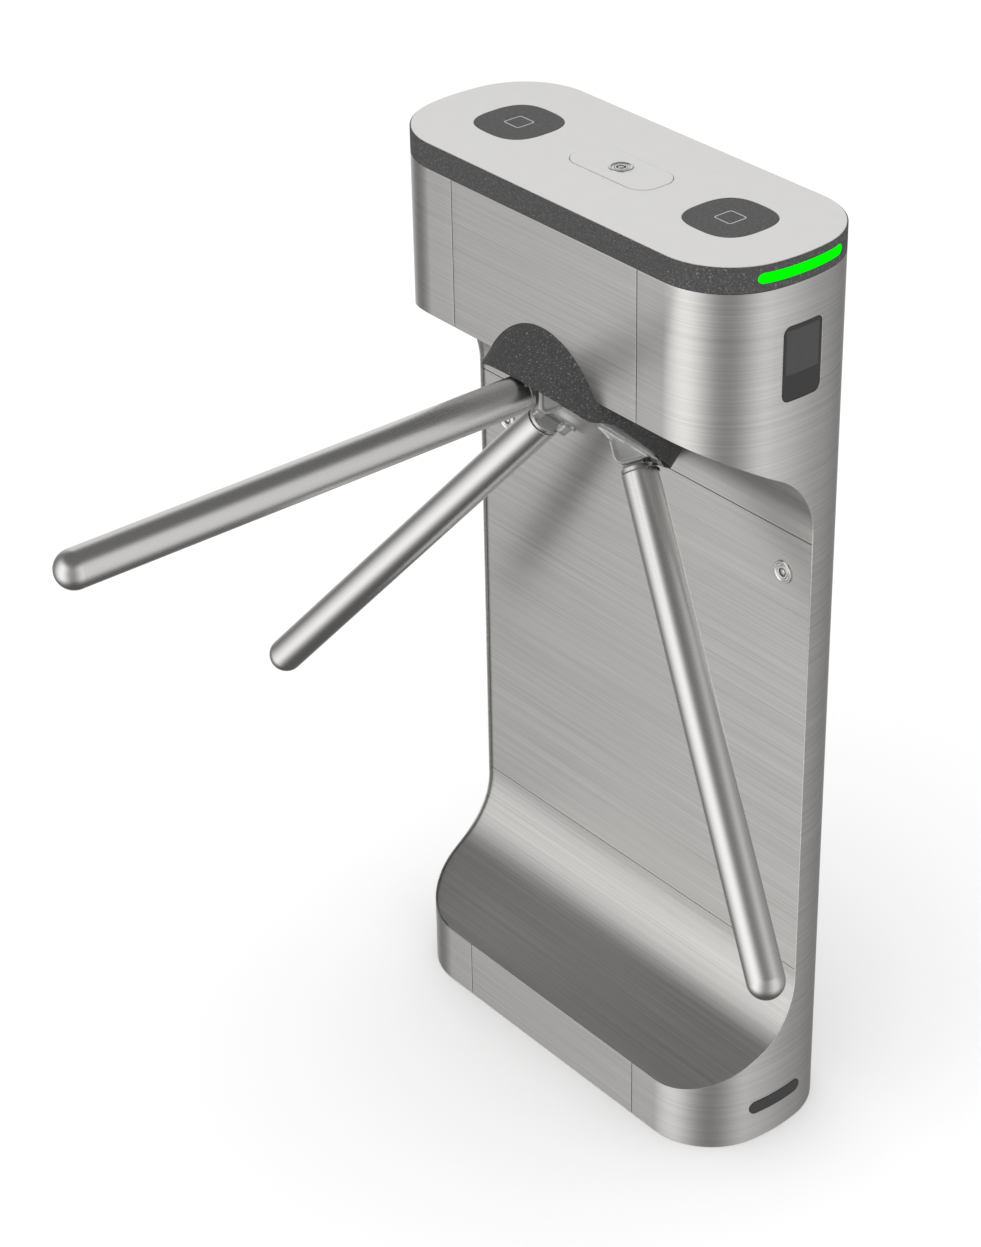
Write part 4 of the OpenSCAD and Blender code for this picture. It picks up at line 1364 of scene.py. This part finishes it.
@dataclass
class Top:
    """Dark ring, pale plate, service hatch and reader windows."""

    plan: Plan = field(default_factory=Plan)
    band_z: float = 974.0
    top_z: float = 1000.0
    plate_t: float = 3.0
    plate_up: float = 0.3
    rim: float = 0.6
    inset: float = 1.3
    ring_drop: float = 0.9
    ring_t: float = 2.0
    roll: float = 0.4
    roll_in: float = 1.5
    reader_x: float = 149.0
    reader_half: float = 39.5
    reader_up: float = 0.25
    reader_gap: float = 0.3
    hatch: tuple[float, float, float] = (113.0, 51.0, 20.0)
    hatch_gap: float = 0.55
    hatch_t: float = 2.5
    hatch_up: float = 0.9
    lock_hole: float = 9.1
    icon: float = 22.5
    icon_line: float = 1.3
    icon_corner: float = 3.4
    icon_inner_corner: float = 2.4
    icon_sunk: float = 0.15
    icon_up: float = 0.04
    icon_edge: float = 0.01
    slot: RoundedHole = field(default_factory=lambda: RoundedHole(102.6, 11.1, 5.55, 986.5))

    def ring(self) -> bpy.types.Object:
        """Makes the ring: its wall on the outline, open at the light slots, and its rolled edge.

        The edge is a quarter circle from the wall to the top, which then runs level inwards.

        Returns:
            The ring.
        """
        stations = self.plan.loop(self.slot.marks())
        depth = stations.depth
        half = self.slot.half_height(depth)
        far_from_end = np.abs(stations.at(0.0)[:, 0]) < self.plan.corner_x
        half = np.where(far_from_end | (np.abs(depth) >= self.slot.width / 2 - SLACK), 0.0, half)
        inside = (0.0, 0.0, 980.0)
        ring_top = self.top_z - self.ring_drop
        low = np.full_like(depth, self.band_z)
        high = np.full_like(depth, ring_top - self.roll)
        patches = Patchwork()
        patches.wall(stations, low, self.slot.middle_z - half, 3, inside)
        patches.wall(stations, self.slot.middle_z + half, high, 3, inside)
        rolled = [(self.roll - self.roll * math.cos(t), ring_top - self.roll + self.roll * math.sin(t))
                  for t in np.linspace(0.0, math.pi / 2, 5)]
        rolled.append((self.inset + self.roll_in, ring_top))
        rows = [np.concatenate([stations.at(inset), np.full((len(depth), 1), z)], 1) for inset, z in rolled]
        patches.add(np.stack(rows), inside)
        return patches.build("top_ring_skin", wall=self.ring_t)

    def lid_plate(self) -> bpy.types.Object:
        """Makes the pale plate with its openings for the readers and the hatch.

        Returns:
            The plate.
        """
        outline = self.plan.loop(np.array([])).at(self.inset)[:-1]
        hole = bulged_square(self.reader_half + self.reader_gap)
        length, width, corner = self.hatch
        gap = self.hatch_gap
        hatch = rounded_outline(length + 2 * gap, width + 2 * gap, corner + gap)
        shift = np.array([self.reader_x, 0.0])
        return plate("pale_plate", [outline, hole + shift, hole - shift, hatch], self.top_z - self.plate_t,
                     self.top_z + self.plate_up, self.rim)

    def hatch_lid(self) -> bpy.types.Object:
        """Makes the hatch with the hole for its lock.

        Returns:
            The hatch.
        """
        turn = np.linspace(0.0, 2 * math.pi, 72, endpoint=False)
        hole = self.lock_hole * grid(np.cos(turn), np.sin(turn))
        return plate("hatch_lid", [rounded_outline(*self.hatch), hole], self.top_z - self.hatch_t,
                     self.top_z + self.hatch_up, self.rim)

    def build(self) -> None:
        """Builds and dresses the top."""
        dress(self.ring(), Finishes.coat, "pedestal", "top_ring")
        dress(self.lid_plate(), Finishes.pale, "pedestal", "top_plate")
        dress(self.hatch_lid(), Finishes.pale, "hatch", "service_hatch")
        cover_top = self.top_z + self.reader_up
        outer = rounded_outline(self.icon, self.icon, self.icon_corner)
        within = self.icon - 2 * self.icon_line
        inner = rounded_outline(within, within, self.icon_inner_corner)
        for sign, side in ((1, "near"), (-1, "far")):
            centre = (sign * self.reader_x, 0.0)
            cover = plate(f"reader_cover_{side}", [bulged_square(self.reader_half)],
                          self.top_z - self.plate_t, cover_top, self.reader_gap, centre)
            dress(cover, Finishes.cover, "pedestal", f"reader_window_{side}")
            mark = plate(f"reader_mark_{side}", [outer, inner], cover_top - self.icon_sunk,
                         cover_top + self.icon_up, self.icon_edge, centre)
            dress(mark, Finishes.icon, "pedestal")


@dataclass
class KeyLock:
    """Round key lock: a rolled flange, a barrel with a ring-shaped keyway, and the cam behind.

    The bead's points are distances outside the hole's radius, and the face's are distances inside the plug's
    radius. Both have the height along the axis, which points into the lock.
    """

    name: str
    place: Place
    radius: float = 9.0
    sleeve: float = 2.5
    depth: float = 11.0
    seat: float = 0.05
    play: float = 0.05
    bead_foot: float = 2.9
    bead: tuple[tuple[float, float], ...] = (
        (3.0, -0.9), (2.6, -1.6), (1.8, -2.0), (0.9, -1.9), (0.1, -1.2), (-0.5, -1.1), (-1.0, -1.5),
        (-1.9, -1.5), (-2.4, -1.1), (-2.5, -0.6))
    face: tuple[tuple[float, float], ...] = (
        (0.0, -1.0), (0.4, -1.5), (1.5, -1.5), (1.8, -1.1), (1.8, 3.0), (3.2, 3.0), (3.2, -1.0), (3.5, -1.3))
    face_z: float = -1.3
    tail_over: float = 3.0
    tail_r: float = 4.0
    tail_z: float = 10.5
    cam_at: float = 14.0
    cam_t: float = 2.8
    cam_half: float = 5.0
    cam_length: float = 20.0
    steps: int = 72

    def flange(self, patches: Patchwork) -> None:
        """Adds the flange and sleeve: a bead rolled over the hole's edge, turned about the lock's axis.

        Args:
            patches: What the flange is added to.
        """
        sleeve = [(-self.sleeve, self.depth), (0.0, self.depth), (0.0, self.seat)]
        loop = [*sleeve, (self.bead_foot, self.seat), *self.bead, sleeve[0]]
        patches.revolve([(self.radius + out, z) for out, z in loop], self.place, self.steps, mapped=True)

    def plug(self) -> bpy.types.Object:
        """Makes the barrel with its ring keyway, and the cam on its tail.

        Returns:
            The plug.
        """
        r = self.radius - self.sleeve - self.play
        end = self.cam_at + self.tail_over
        profile = [(0.0, end), (self.tail_r, end), (self.tail_r, self.tail_z), (r, self.tail_z)]
        profile += [(r - back, z) for back, z in self.face]
        profile.append((0.0, self.face_z))
        patches = Patchwork()
        patches.revolve(profile, self.place, self.steps, mapped=True)
        patches.block((-self.cam_half, -self.cam_half, self.cam_at),
                      (self.cam_length, self.cam_half, self.cam_at + self.cam_t), self.place)
        return patches.build(f"{self.name}_plug", closed=True, sharp=CRISP)


@dataclass
class Locks:
    """The hatch lock and the two door locks."""

    door_y: float = 25.8
    lock_x: float = 206.0
    lock_z: float = 645.5
    top_z: float = 1000.0
    hatch_cam_at: float = 12.0
    hatch_cam: float = 31.5
    door_cam_at: float = 14.2

    def build(self) -> None:
        """Builds and dresses the three locks."""
        hatch = KeyLock("hatch_lock", Place(np.array([0.0, 0, self.top_z]), WORLD.x, -WORLD.y, -WORLD.z),
                        cam_at=self.hatch_cam_at, cam_length=self.hatch_cam)
        ring = Patchwork()
        hatch.flange(ring)
        flange = ring.build("hatch_lock_flange", closed=True, sharp=CRISP)
        dress(flange, Finishes.chrome, "hatch", "hatch_lock_body")
        dress(hatch.plug(), Finishes.chrome, "hatch_plug", "hatch_key_plug")
        rings = Patchwork()
        for sign, side in ((1, "near"), (-1, "far")):
            origin = np.array([sign * self.lock_x, self.door_y, self.lock_z])
            lock = KeyLock(f"door_lock_{side}", Place(origin, -WORLD.x * sign, WORLD.z * sign, WORLD.y),
                           cam_at=self.door_cam_at)
            lock.flange(rings)
            dress(lock.plug(), Finishes.chrome, f"door_plug_{side}", f"door_key_plug_{side}")
        flanges = rings.build("door_lock_flanges", closed=True, sharp=CRISP)
        dress(flanges, Finishes.chrome, "pedestal", "door_lock_bodies")


@dataclass
class HubAssembly:
    """Dark cup, three-lobed casting, sockets and arm tubes."""

    rotor: Rotor = field(default_factory=Rotor)
    cup_r: float = 104.0
    cup_t: float = 2.0
    cup_floor: float = 27.0
    cup_bevel: float = 0.5
    housing_r: float = 34.3
    hood_z: float = 72.0
    rim_z: float = 61.5
    hood_from: float = 48.0
    hood_to: float = 65.0
    hub_z: float = 56.5
    hub_t: float = 8.0
    lobe_mid: float = 76.0
    lobe_swing: float = 18.0
    lobe_reach: float = 96.0
    boss_r: float = 28.0
    boss_z: float = 44.0
    dome: tuple[tuple[float, float], ...] = (
        (36.0, 0.0), (31.0, 2.0), (24.0, 6.0), (18.0, 11.0), (14.5, 12.5), (9.6, 12.5), (9.6, 9.3),
        (0.0, 9.3))
    overlap: float = 2.0
    voxel: float = 1.0
    pin_s: float = 90.0
    pin_drop: float = 4.0
    ear_in: float = 11.0
    ear_front: float = 15.0
    ear_end: float = 106.0
    ear_round: float = 9.0
    front_low: float = 10.0
    root_out: float = 2.0
    root_sink: float = 1.0
    root_heel: float = 8.0
    root_in: float = 11.0
    root_start: float = 22.0
    root_toe: tuple[float, float] = (9.0, 23.0)
    lip_in: float = 2.4
    lip_out: float = 1.3
    lip_low: float = 9.0
    lip_stop: float = 6.0
    knuckle_edge: float = 0.5
    knuckle_r: float = 12.0
    knuckle_play: float = 0.3
    neck_half: float = 10.0
    neck_s: float = 111.5
    collar_r: float = 18.1
    collar_edge: float = 0.8
    collar_gap: float = 0.6
    spigot_in: float = 2.4
    spigot: float = 4.0
    arm_r: float = 18.75
    arm_wall: float = 1.5
    arm_root: float = 115.5
    arm_reach: float = 612.0
    arm_inside: float = 350.0
    lap: float = 20.0
    rolled: float = 0.4
    rolled_out: float = 0.5
    plain_from: float = 6.0
    skin: float = 0.08

    def rim(self, turn: np.ndarray) -> np.ndarray:
        """Gives the cup's rim height round the axis: high over the front, then a cosine S-curve to the sides.

        Args:
            turn: Angle of each point round the axis.

        Returns:
            The height of each point.
        """
        across = np.abs(self.cup_r * np.cos(turn))
        start = self.cup_r * math.sin(math.radians(self.hood_from))
        stop = self.cup_r * math.sin(math.radians(self.hood_to))
        share = np.clip((across - start) / (stop - start), 0.0, 1.0)
        curve = self.rim_z + (self.hood_z - self.rim_z) * (1 + np.cos(math.pi * share)) / 2
        return np.where(np.sin(turn) > 0, curve, self.rim_z)

    def cup(self) -> bpy.types.Object:
        """Makes the cup: outer wall, rounded rim, inner wall and floor as one closed profile carried round.

        Returns:
            The cup.
        """
        turn = np.linspace(0.0, 2 * math.pi, 241)
        rim = self.rim(turn)
        flat = np.zeros_like(turn)
        outer, inner = self.cup_r, self.cup_r - self.cup_t
        mid = (outer + inner) / 2
        roll = self.cup_t / 2
        bottom, top = flat + self.cup_floor, flat + (self.cup_floor + self.cup_t)
        bend = np.linspace(0.0, math.pi, 7)
        rows = [(outer, flat), (outer, rim * 0.5)]
        rows += [(mid + roll * math.cos(b), rim - roll * (1 - math.sin(b))) for b in bend]
        rows += [(inner, (rim + self.cup_floor) / 2), (inner, top + self.cup_bevel),
                 (inner - self.cup_bevel, top), (self.housing_r, top), (self.housing_r, bottom),
                 (inner, bottom), (inner, flat), (outer, flat)]
        points = np.stack([grid(r * np.cos(turn), r * np.sin(turn), z) for r, z in rows])
        patches = Patchwork()
        patches.add(self.rotor.place.world(points))
        return patches.build("cup_skin", closed=True)

    def on_arm(self, y: float, z: float) -> tuple[float, float]:
        """Gives a point of the rotor's YZ plane in an arm's YZ plane."""
        cone = math.radians(90.0 - self.rotor.tilt)
        return y * math.cos(cone) - z * math.sin(cone), y * math.sin(cone) + z * math.cos(cone)

    def casting(self) -> bpy.types.Object:
        """Makes the casting: a lobed plate, a boss, a dome, and ears with lips, run together.

        The plate's radius is its mean plus a swing times the cosine of three times the angle.

        Returns:
            The casting.
        """
        place = self.rotor.place
        face = self.hub_z + self.hub_t
        behind = self.hub_z + self.overlap
        turn = np.linspace(0.0, 2 * math.pi, 120, endpoint=False)
        lobed = self.lobe_mid + self.lobe_swing * np.cos(3 * (turn - math.pi / 2))
        patches = Patchwork()
        patches.prism(grid(lobed * np.cos(turn), lobed * np.sin(turn)), self.hub_z, face, place)
        boss = [(0.0, self.boss_z), (self.boss_r, self.boss_z), (self.boss_r, behind), (0.0, behind)]
        patches.revolve(boss, place, 64)
        front = [(radius, face + height) for radius, height in self.dome]
        patches.revolve([(0.0, behind), (self.dome[0][0], behind), *front], place, 96)
        ear = self._ear(face)
        for index in range(3):
            arm = self.rotor.arm(index)
            side_on = Place(arm.origin, arm.y, arm.z, arm.x)
            for low, high in ((self.ear_in, self.arm_r), (-self.arm_r, -self.ear_in)):
                patches.prism(ear, low, high, side_on)
            self._lip(patches, arm)
        return patches.build("hub_casting", closed=True, blend=self.voxel)

    @property
    def ear_face(self) -> float:
        """Y of an ear's front in an arm's place."""
        return -self.pin_drop - self.ear_front

    def _ear_corner(self) -> tuple[np.ndarray, np.ndarray]:
        """Gives the ear's round corner, a quarter circle, in an arm's YZ plane.

        Returns:
            The points, and the way out at each of them.
        """
        turn = np.radians(np.linspace(180.0, 90.0, 9))
        away = grid(np.cos(turn), np.sin(turn))
        centre = np.array([self.ear_face + self.ear_round, self.ear_end - self.ear_round])
        return centre + self.ear_round * away, away

    def _ear(self, face: float) -> np.ndarray:
        """Gives an ear's outline in an arm's YZ plane: front, round corner, flat end and root.

        Args:
            face: Height of the plate's front face along the rotor axis.

        Returns:
            The outline, ending in the plate.
        """
        corner, _ = self._ear_corner()
        back = self.on_arm(self.lobe_reach + self.root_out, face - self.root_sink)
        sunk = self.hub_z + self.root_sink
        toe_y, toe_s = self.root_toe
        root = np.array([(back[0] - self.root_heel, self.ear_end), back,
                         self.on_arm(self.lobe_reach - self.root_in, sunk),
                         self.on_arm(self.root_start, sunk),
                         (self.ear_face - toe_y, self.pin_s - toe_s),
                         (self.ear_face, self.pin_s - self.front_low)])
        return np.concatenate([corner, root])

    def _lip(self, patches: Patchwork, arm: Place) -> None:
        """Adds the lips of an arm's two ears: a small rectangle carried along each ear's front and end.

        Args:
            patches: What the lips are added to.
            arm: The arm's place.
        """
        corner, outward = self._ear_corner()
        start, stop = (self.ear_face, self.pin_s - self.lip_low), (self.lip_stop, self.ear_end)
        path = np.concatenate([[start], corner, [stop]])
        away = np.concatenate([[(-1.0, 0.0)], outward, [(0.0, 1.0)]])
        outer, inner = path + away * self.lip_out, path - away * self.lip_in
        half = self.arm_r + self.lip_out
        for low, high in ((self.ear_in, half), (-half, -self.ear_in)):
            loop = [(low, outer), (high, outer), (high, inner), (low, inner), (low, outer)]
            rows = np.stack([np.concatenate([np.full((len(path), 1), x), line], 1) for x, line in loop], 1)
            caps = [np.broadcast_to(row[:4].mean(0), row.shape)[None] for row in (rows[0], rows[-1])]
            patches.add(arm.world(np.concatenate([caps[0], rows, caps[1]])))

    def socket(self, patches: Patchwork, index: int) -> None:
        """Adds one socket: a tongue on the pin, a neck and a turned collar that the tube is pressed on.

        Args:
            patches: What the socket is added to.
            index: The arm's number; arm 0 is the blocking arm.
        """
        arm = self.rotor.arm(index)
        wide = self.ear_in - self.knuckle_play
        side_on = Place(arm.world(np.array([0.0, -self.pin_drop, self.pin_s])), arm.y, arm.z, arm.x)
        r, chamfer = self.knuckle_r, self.knuckle_edge
        patches.revolve([(0.0, -wide), (r - chamfer, -wide), (r, chamfer - wide), (r, wide - chamfer),
                         (r - chamfer, wide), (0.0, wide)], side_on, 64)
        patches.block((-wide, -self.pin_drop - self.neck_half, self.pin_s),
                      (wide, -self.pin_drop + self.neck_half, self.neck_s), arm)
        r, edge = self.collar_r, self.collar_edge
        start, stop = self.neck_s - 2 * edge, self.arm_root - self.collar_gap
        spigot_r, spigot_end = r - self.spigot_in, self.arm_root + self.spigot
        collar = [(0.0, start), (r - edge, start), (r, start + edge), (r, stop - edge), (r - edge, stop),
                  (spigot_r, stop), (spigot_r, spigot_end), (0.0, spigot_end)]
        patches.revolve(collar, arm, 72)

    def tube(self, patches: Patchwork, index: int) -> None:
        """Adds one arm tube: a turned profile with a rolled root and a round tip.

        Args:
            patches: What the tube is added to.
            index: The arm's number; arm 0 is the blocking arm.
        """
        r, root, tip = self.arm_r - self.skin, self.arm_root, self.arm_reach
        inner = r - self.arm_wall
        turn = np.linspace(0.0, math.pi / 2, 25)
        profile = [(inner, root + self.lap), (inner, root + self.rolled), (inner + self.rolled, root),
                   (r - self.rolled_out, root), (r, root + self.rolled_out)]
        profile += [(r, z) for z in np.linspace(root + self.plain_from, tip, 12)]
        profile += [(r * math.cos(t), tip + r * math.sin(t)) for t in turn[1:-1]] + [(0.0, tip + r)]
        arm = self.rotor.arm(index)
        patches.revolve(profile, arm, 96, arm.world(np.array([0.0, 0.0, self.arm_inside])), mapped=True)

    def build(self) -> None:
        """Builds and dresses the cup, the hub and the arms."""
        dress(self.cup(), Finishes.cup_coat, "pedestal", "hub_shroud")
        dress(self.casting(), Finishes.casting, "rotor", "hub")
        kinds = ((self.socket, True, Finishes.socket, "collar", "socket"),
                 (self.tube, False, Finishes.arm, "tube", "arm"))
        groups = (("latched", "rotor", (1, 2), "s"), ("blocking", "drop_arm", (0,), ""))
        for make, closed, finish, skin, node in kinds:
            for group, body, arms, plural in groups:
                patches = Patchwork()
                for index in arms:
                    make(patches, index)
                piece = patches.build(f"{group}_{skin}{plural}", closed=closed)
                dress(piece, finish, body, f"{group}_{node}{plural}")


class Carried:
    """CAD pieces whose own shapes are right, by the finish that they get."""

    groups: tuple[tuple[Finish, str], ...] = (
        (Finishes.flat_sheet, "service_door"),
        (Finishes.machined, "hub_bolt main_shaft bearings mechanism_bolts index_cam locking_disc"),
        (Finishes.machined, "entry_pawl exit_pawl pawl_pivots entry_plunger exit_plunger follower_lever"),
        (Finishes.machined, "centring_spring damper_pinion encoder_disc"),
        (Finishes.casting, "pivot_pins"),
        (Finishes.zinc, "base_plate frame mechanism_plate bearing_housing power_supply"),
        (Finishes.nylon, "drive_gear follower_roller"),
        (Finishes.plastic, "damper cable_gland"),
        (Finishes.board, "reader_boards display_boards encoder_sensor control_board"),
        (Finishes.coil, "entry_solenoid exit_solenoid"),
    )

    @classmethod
    def build(cls, nodes: Mapping[str, bpy.types.Object]) -> None:
        """Gives each shown CAD piece its finish.

        Args:
            nodes: The CAD objects by name.
        """
        finishes = {name: finish for finish, names in cls.groups for name in names.split()}
        for name, piece in nodes.items():
            if piece.hide_render:
                continue
            finish = finishes[name]
            for entry in piece.material_slots:
                entry.material = finish.material()
            if not piece.material_slots:
                LOG.warning("%s has no material slot", name)
            LOG.info("%s keeps its CAD shape in %s", name, finish.name)


# Studio and camera


@dataclass
class SoftBox:
    """A soft light of the studio that only reflections see, by its compass direction."""

    azimuth: float
    strength: float
    focus: float


@dataclass
class Lamp:
    """A soft square lamp: its place in metres, its power in watts and its side in metres."""

    name: str
    place: tuple[float, float, float]
    watts: float
    size: float


@dataclass
class Studio:
    """Pale floor, plain soft light, and the studio that polished steel reflects."""

    ambient: float = 1.03
    ground: float = 0.115
    ceiling: float = 0.02
    boxes: tuple[SoftBox, ...] = (
        SoftBox(-100.0, 1.16, 5.2), SoftBox(-134.0, 0.16, 16.0), SoftBox(13.0, 0.78, 4.6),
        SoftBox(80.0, 0.16, 8.0), SoftBox(147.0, 0.74, 11.0))
    lamps: tuple[Lamp, ...] = (Lamp("lamp_over", (0.4, -1.2, 3.2), 12.0, 2.4),
                               Lamp("lamp_side", (3.0, -0.6, 1.9), 5.0, 1.8))
    window_foot: tuple[float, float] = (-0.97, -0.45)
    window_top: tuple[float, float] = (0.42, 0.81)
    ceiling_from: tuple[float, float] = (0.3, 0.7)
    floor_half: float = 9.0
    floor_z: float = -0.5
    aim: tuple[float, float, float] = (0.0, 0.0, 0.5)

    def world(self) -> None:
        """Writes the world: white to the camera, even to plain light, and soft boxes to reflections.

        A box adds its strength times e to the power of focus times (cosine of the angle to it, less 1).
        """
        world = bpy.data.worlds.new("studio")
        bpy.context.scene.world = world
        world.use_nodes = True
        w = NodeWriter(world.node_tree)
        x, y, z = w.parts(w.result("ShaderNodeTexCoord", output="Generated"))
        level = w.math("SQRT", w.math("MAXIMUM", 1.0 - z * z, 0.0001))
        glow: Value = 0.0
        for box in self.boxes:
            a = math.radians(box.azimuth)
            facing = (x * math.cos(a) + y * math.sin(a)) / level
            glow = ((facing - 1.0) * box.focus).exp() * box.strength + glow
        lit = glow * z.within(self.window_foot, self.window_top)
        reflected = lit + z.step(*self.ceiling_from) * self.ceiling + self.ground
        rays = w.add("ShaderNodeLightPath").outputs
        kinds = ("Camera", "Glossy", "Transmission")
        seen, glossy, through = (Signal(w, rays[f"Is {kind} Ray"]) for kind in kinds)
        background = (seen + glossy + through).clamp()
        tone = glossy * reflected + (1.0 - glossy)
        strength = background * tone + (1.0 - background) * self.ambient
        light = w.result("ShaderNodeBackground", {}, {"Color": shade((1.0, 1.0, 1.0)), "Strength": strength})
        w.add("ShaderNodeOutputWorld", {}, {"Surface": light})

    def floor(self) -> None:
        """Lays the pale floor, a level square which only diffuse light and the camera see."""
        side = np.linspace(-self.floor_half, self.floor_half, 3) / METRE
        patches = Patchwork()
        patches.add(grid(side, side[:, None], self.floor_z), (0.0, 0.0, -500.0))
        piece = patches.build("studio_floor")
        piece.data.materials.append(Finishes.floor.material())
        piece.visible_glossy = False

    def hang(self, lamp: Lamp) -> None:
        """Hangs a lamp that looks at the middle of the object.

        Args:
            lamp: The lamp.
        """
        data = bpy.data.lights.new(lamp.name, "AREA")
        data.shape = "SQUARE"
        data.size = lamp.size
        data.energy = lamp.watts
        hung = placed(lamp.name, data)
        hung.location = lamp.place
        hung.rotation_euler = (Vector(self.aim) - Vector(lamp.place)).to_track_quat("-Z", "Y").to_euler()
        hung.visible_glossy = False

    def build(self) -> None:
        """Builds the studio."""
        self.world()
        self.floor()
        for lamp in self.lamps:
            self.hang(lamp)
        LOG.info("studio: %d soft boxes and %d lamps", len(self.boxes), len(self.lamps))


@dataclass
class Viewpoint:
    """Camera at the photograph's place, solved from the object's own edges."""

    place: tuple[float, float, float] = (2.04337, -1.79586, 2.16704)
    azimuth: float = 51.44445
    elevation: float = 31.43457
    roll: float = -1.22743
    lens: float = 90.731
    sensor: float = 36.0
    clip_end: float = 60.0

    def build(self) -> None:
        """Makes the scene's camera: it looks back along its azimuth and elevation, and is then rolled."""
        a, e, r = (math.radians(v) for v in (self.azimuth, self.elevation, self.roll))
        back = Vector((math.sin(a) * math.cos(e), -math.cos(a) * math.cos(e), math.sin(e)))
        right = Vector((math.cos(a), math.sin(a), 0.0))
        up = back.cross(right)
        turned_right = right * math.cos(r) + up * math.sin(r)
        turned_up = up * math.cos(r) - right * math.sin(r)
        data = bpy.data.cameras.new("viewpoint")
        data.lens = self.lens
        data.sensor_width = self.sensor
        data.sensor_fit = "AUTO"
        data.clip_end = self.clip_end
        camera = placed("viewpoint", data)
        axes = Matrix((turned_right, turned_up, back)).transposed().to_4x4()
        camera.matrix_world = Matrix.Translation(self.place) @ axes
        bpy.context.scene.camera = camera


def main() -> None:
    """Loads the frame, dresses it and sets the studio."""
    logging.basicConfig(level=logging.INFO, format="%(name)s: %(message)s")
    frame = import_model()
    bpy.context.scene.view_settings.view_transform = "Standard"
    for assembly in (Viewpoint(), Housing(), EndFittings(), Top(), Locks(), HubAssembly()):
        assembly.build()
    Carried.build(frame["nodes"])
    Studio().build()


if __name__ == "__main__":
    main()
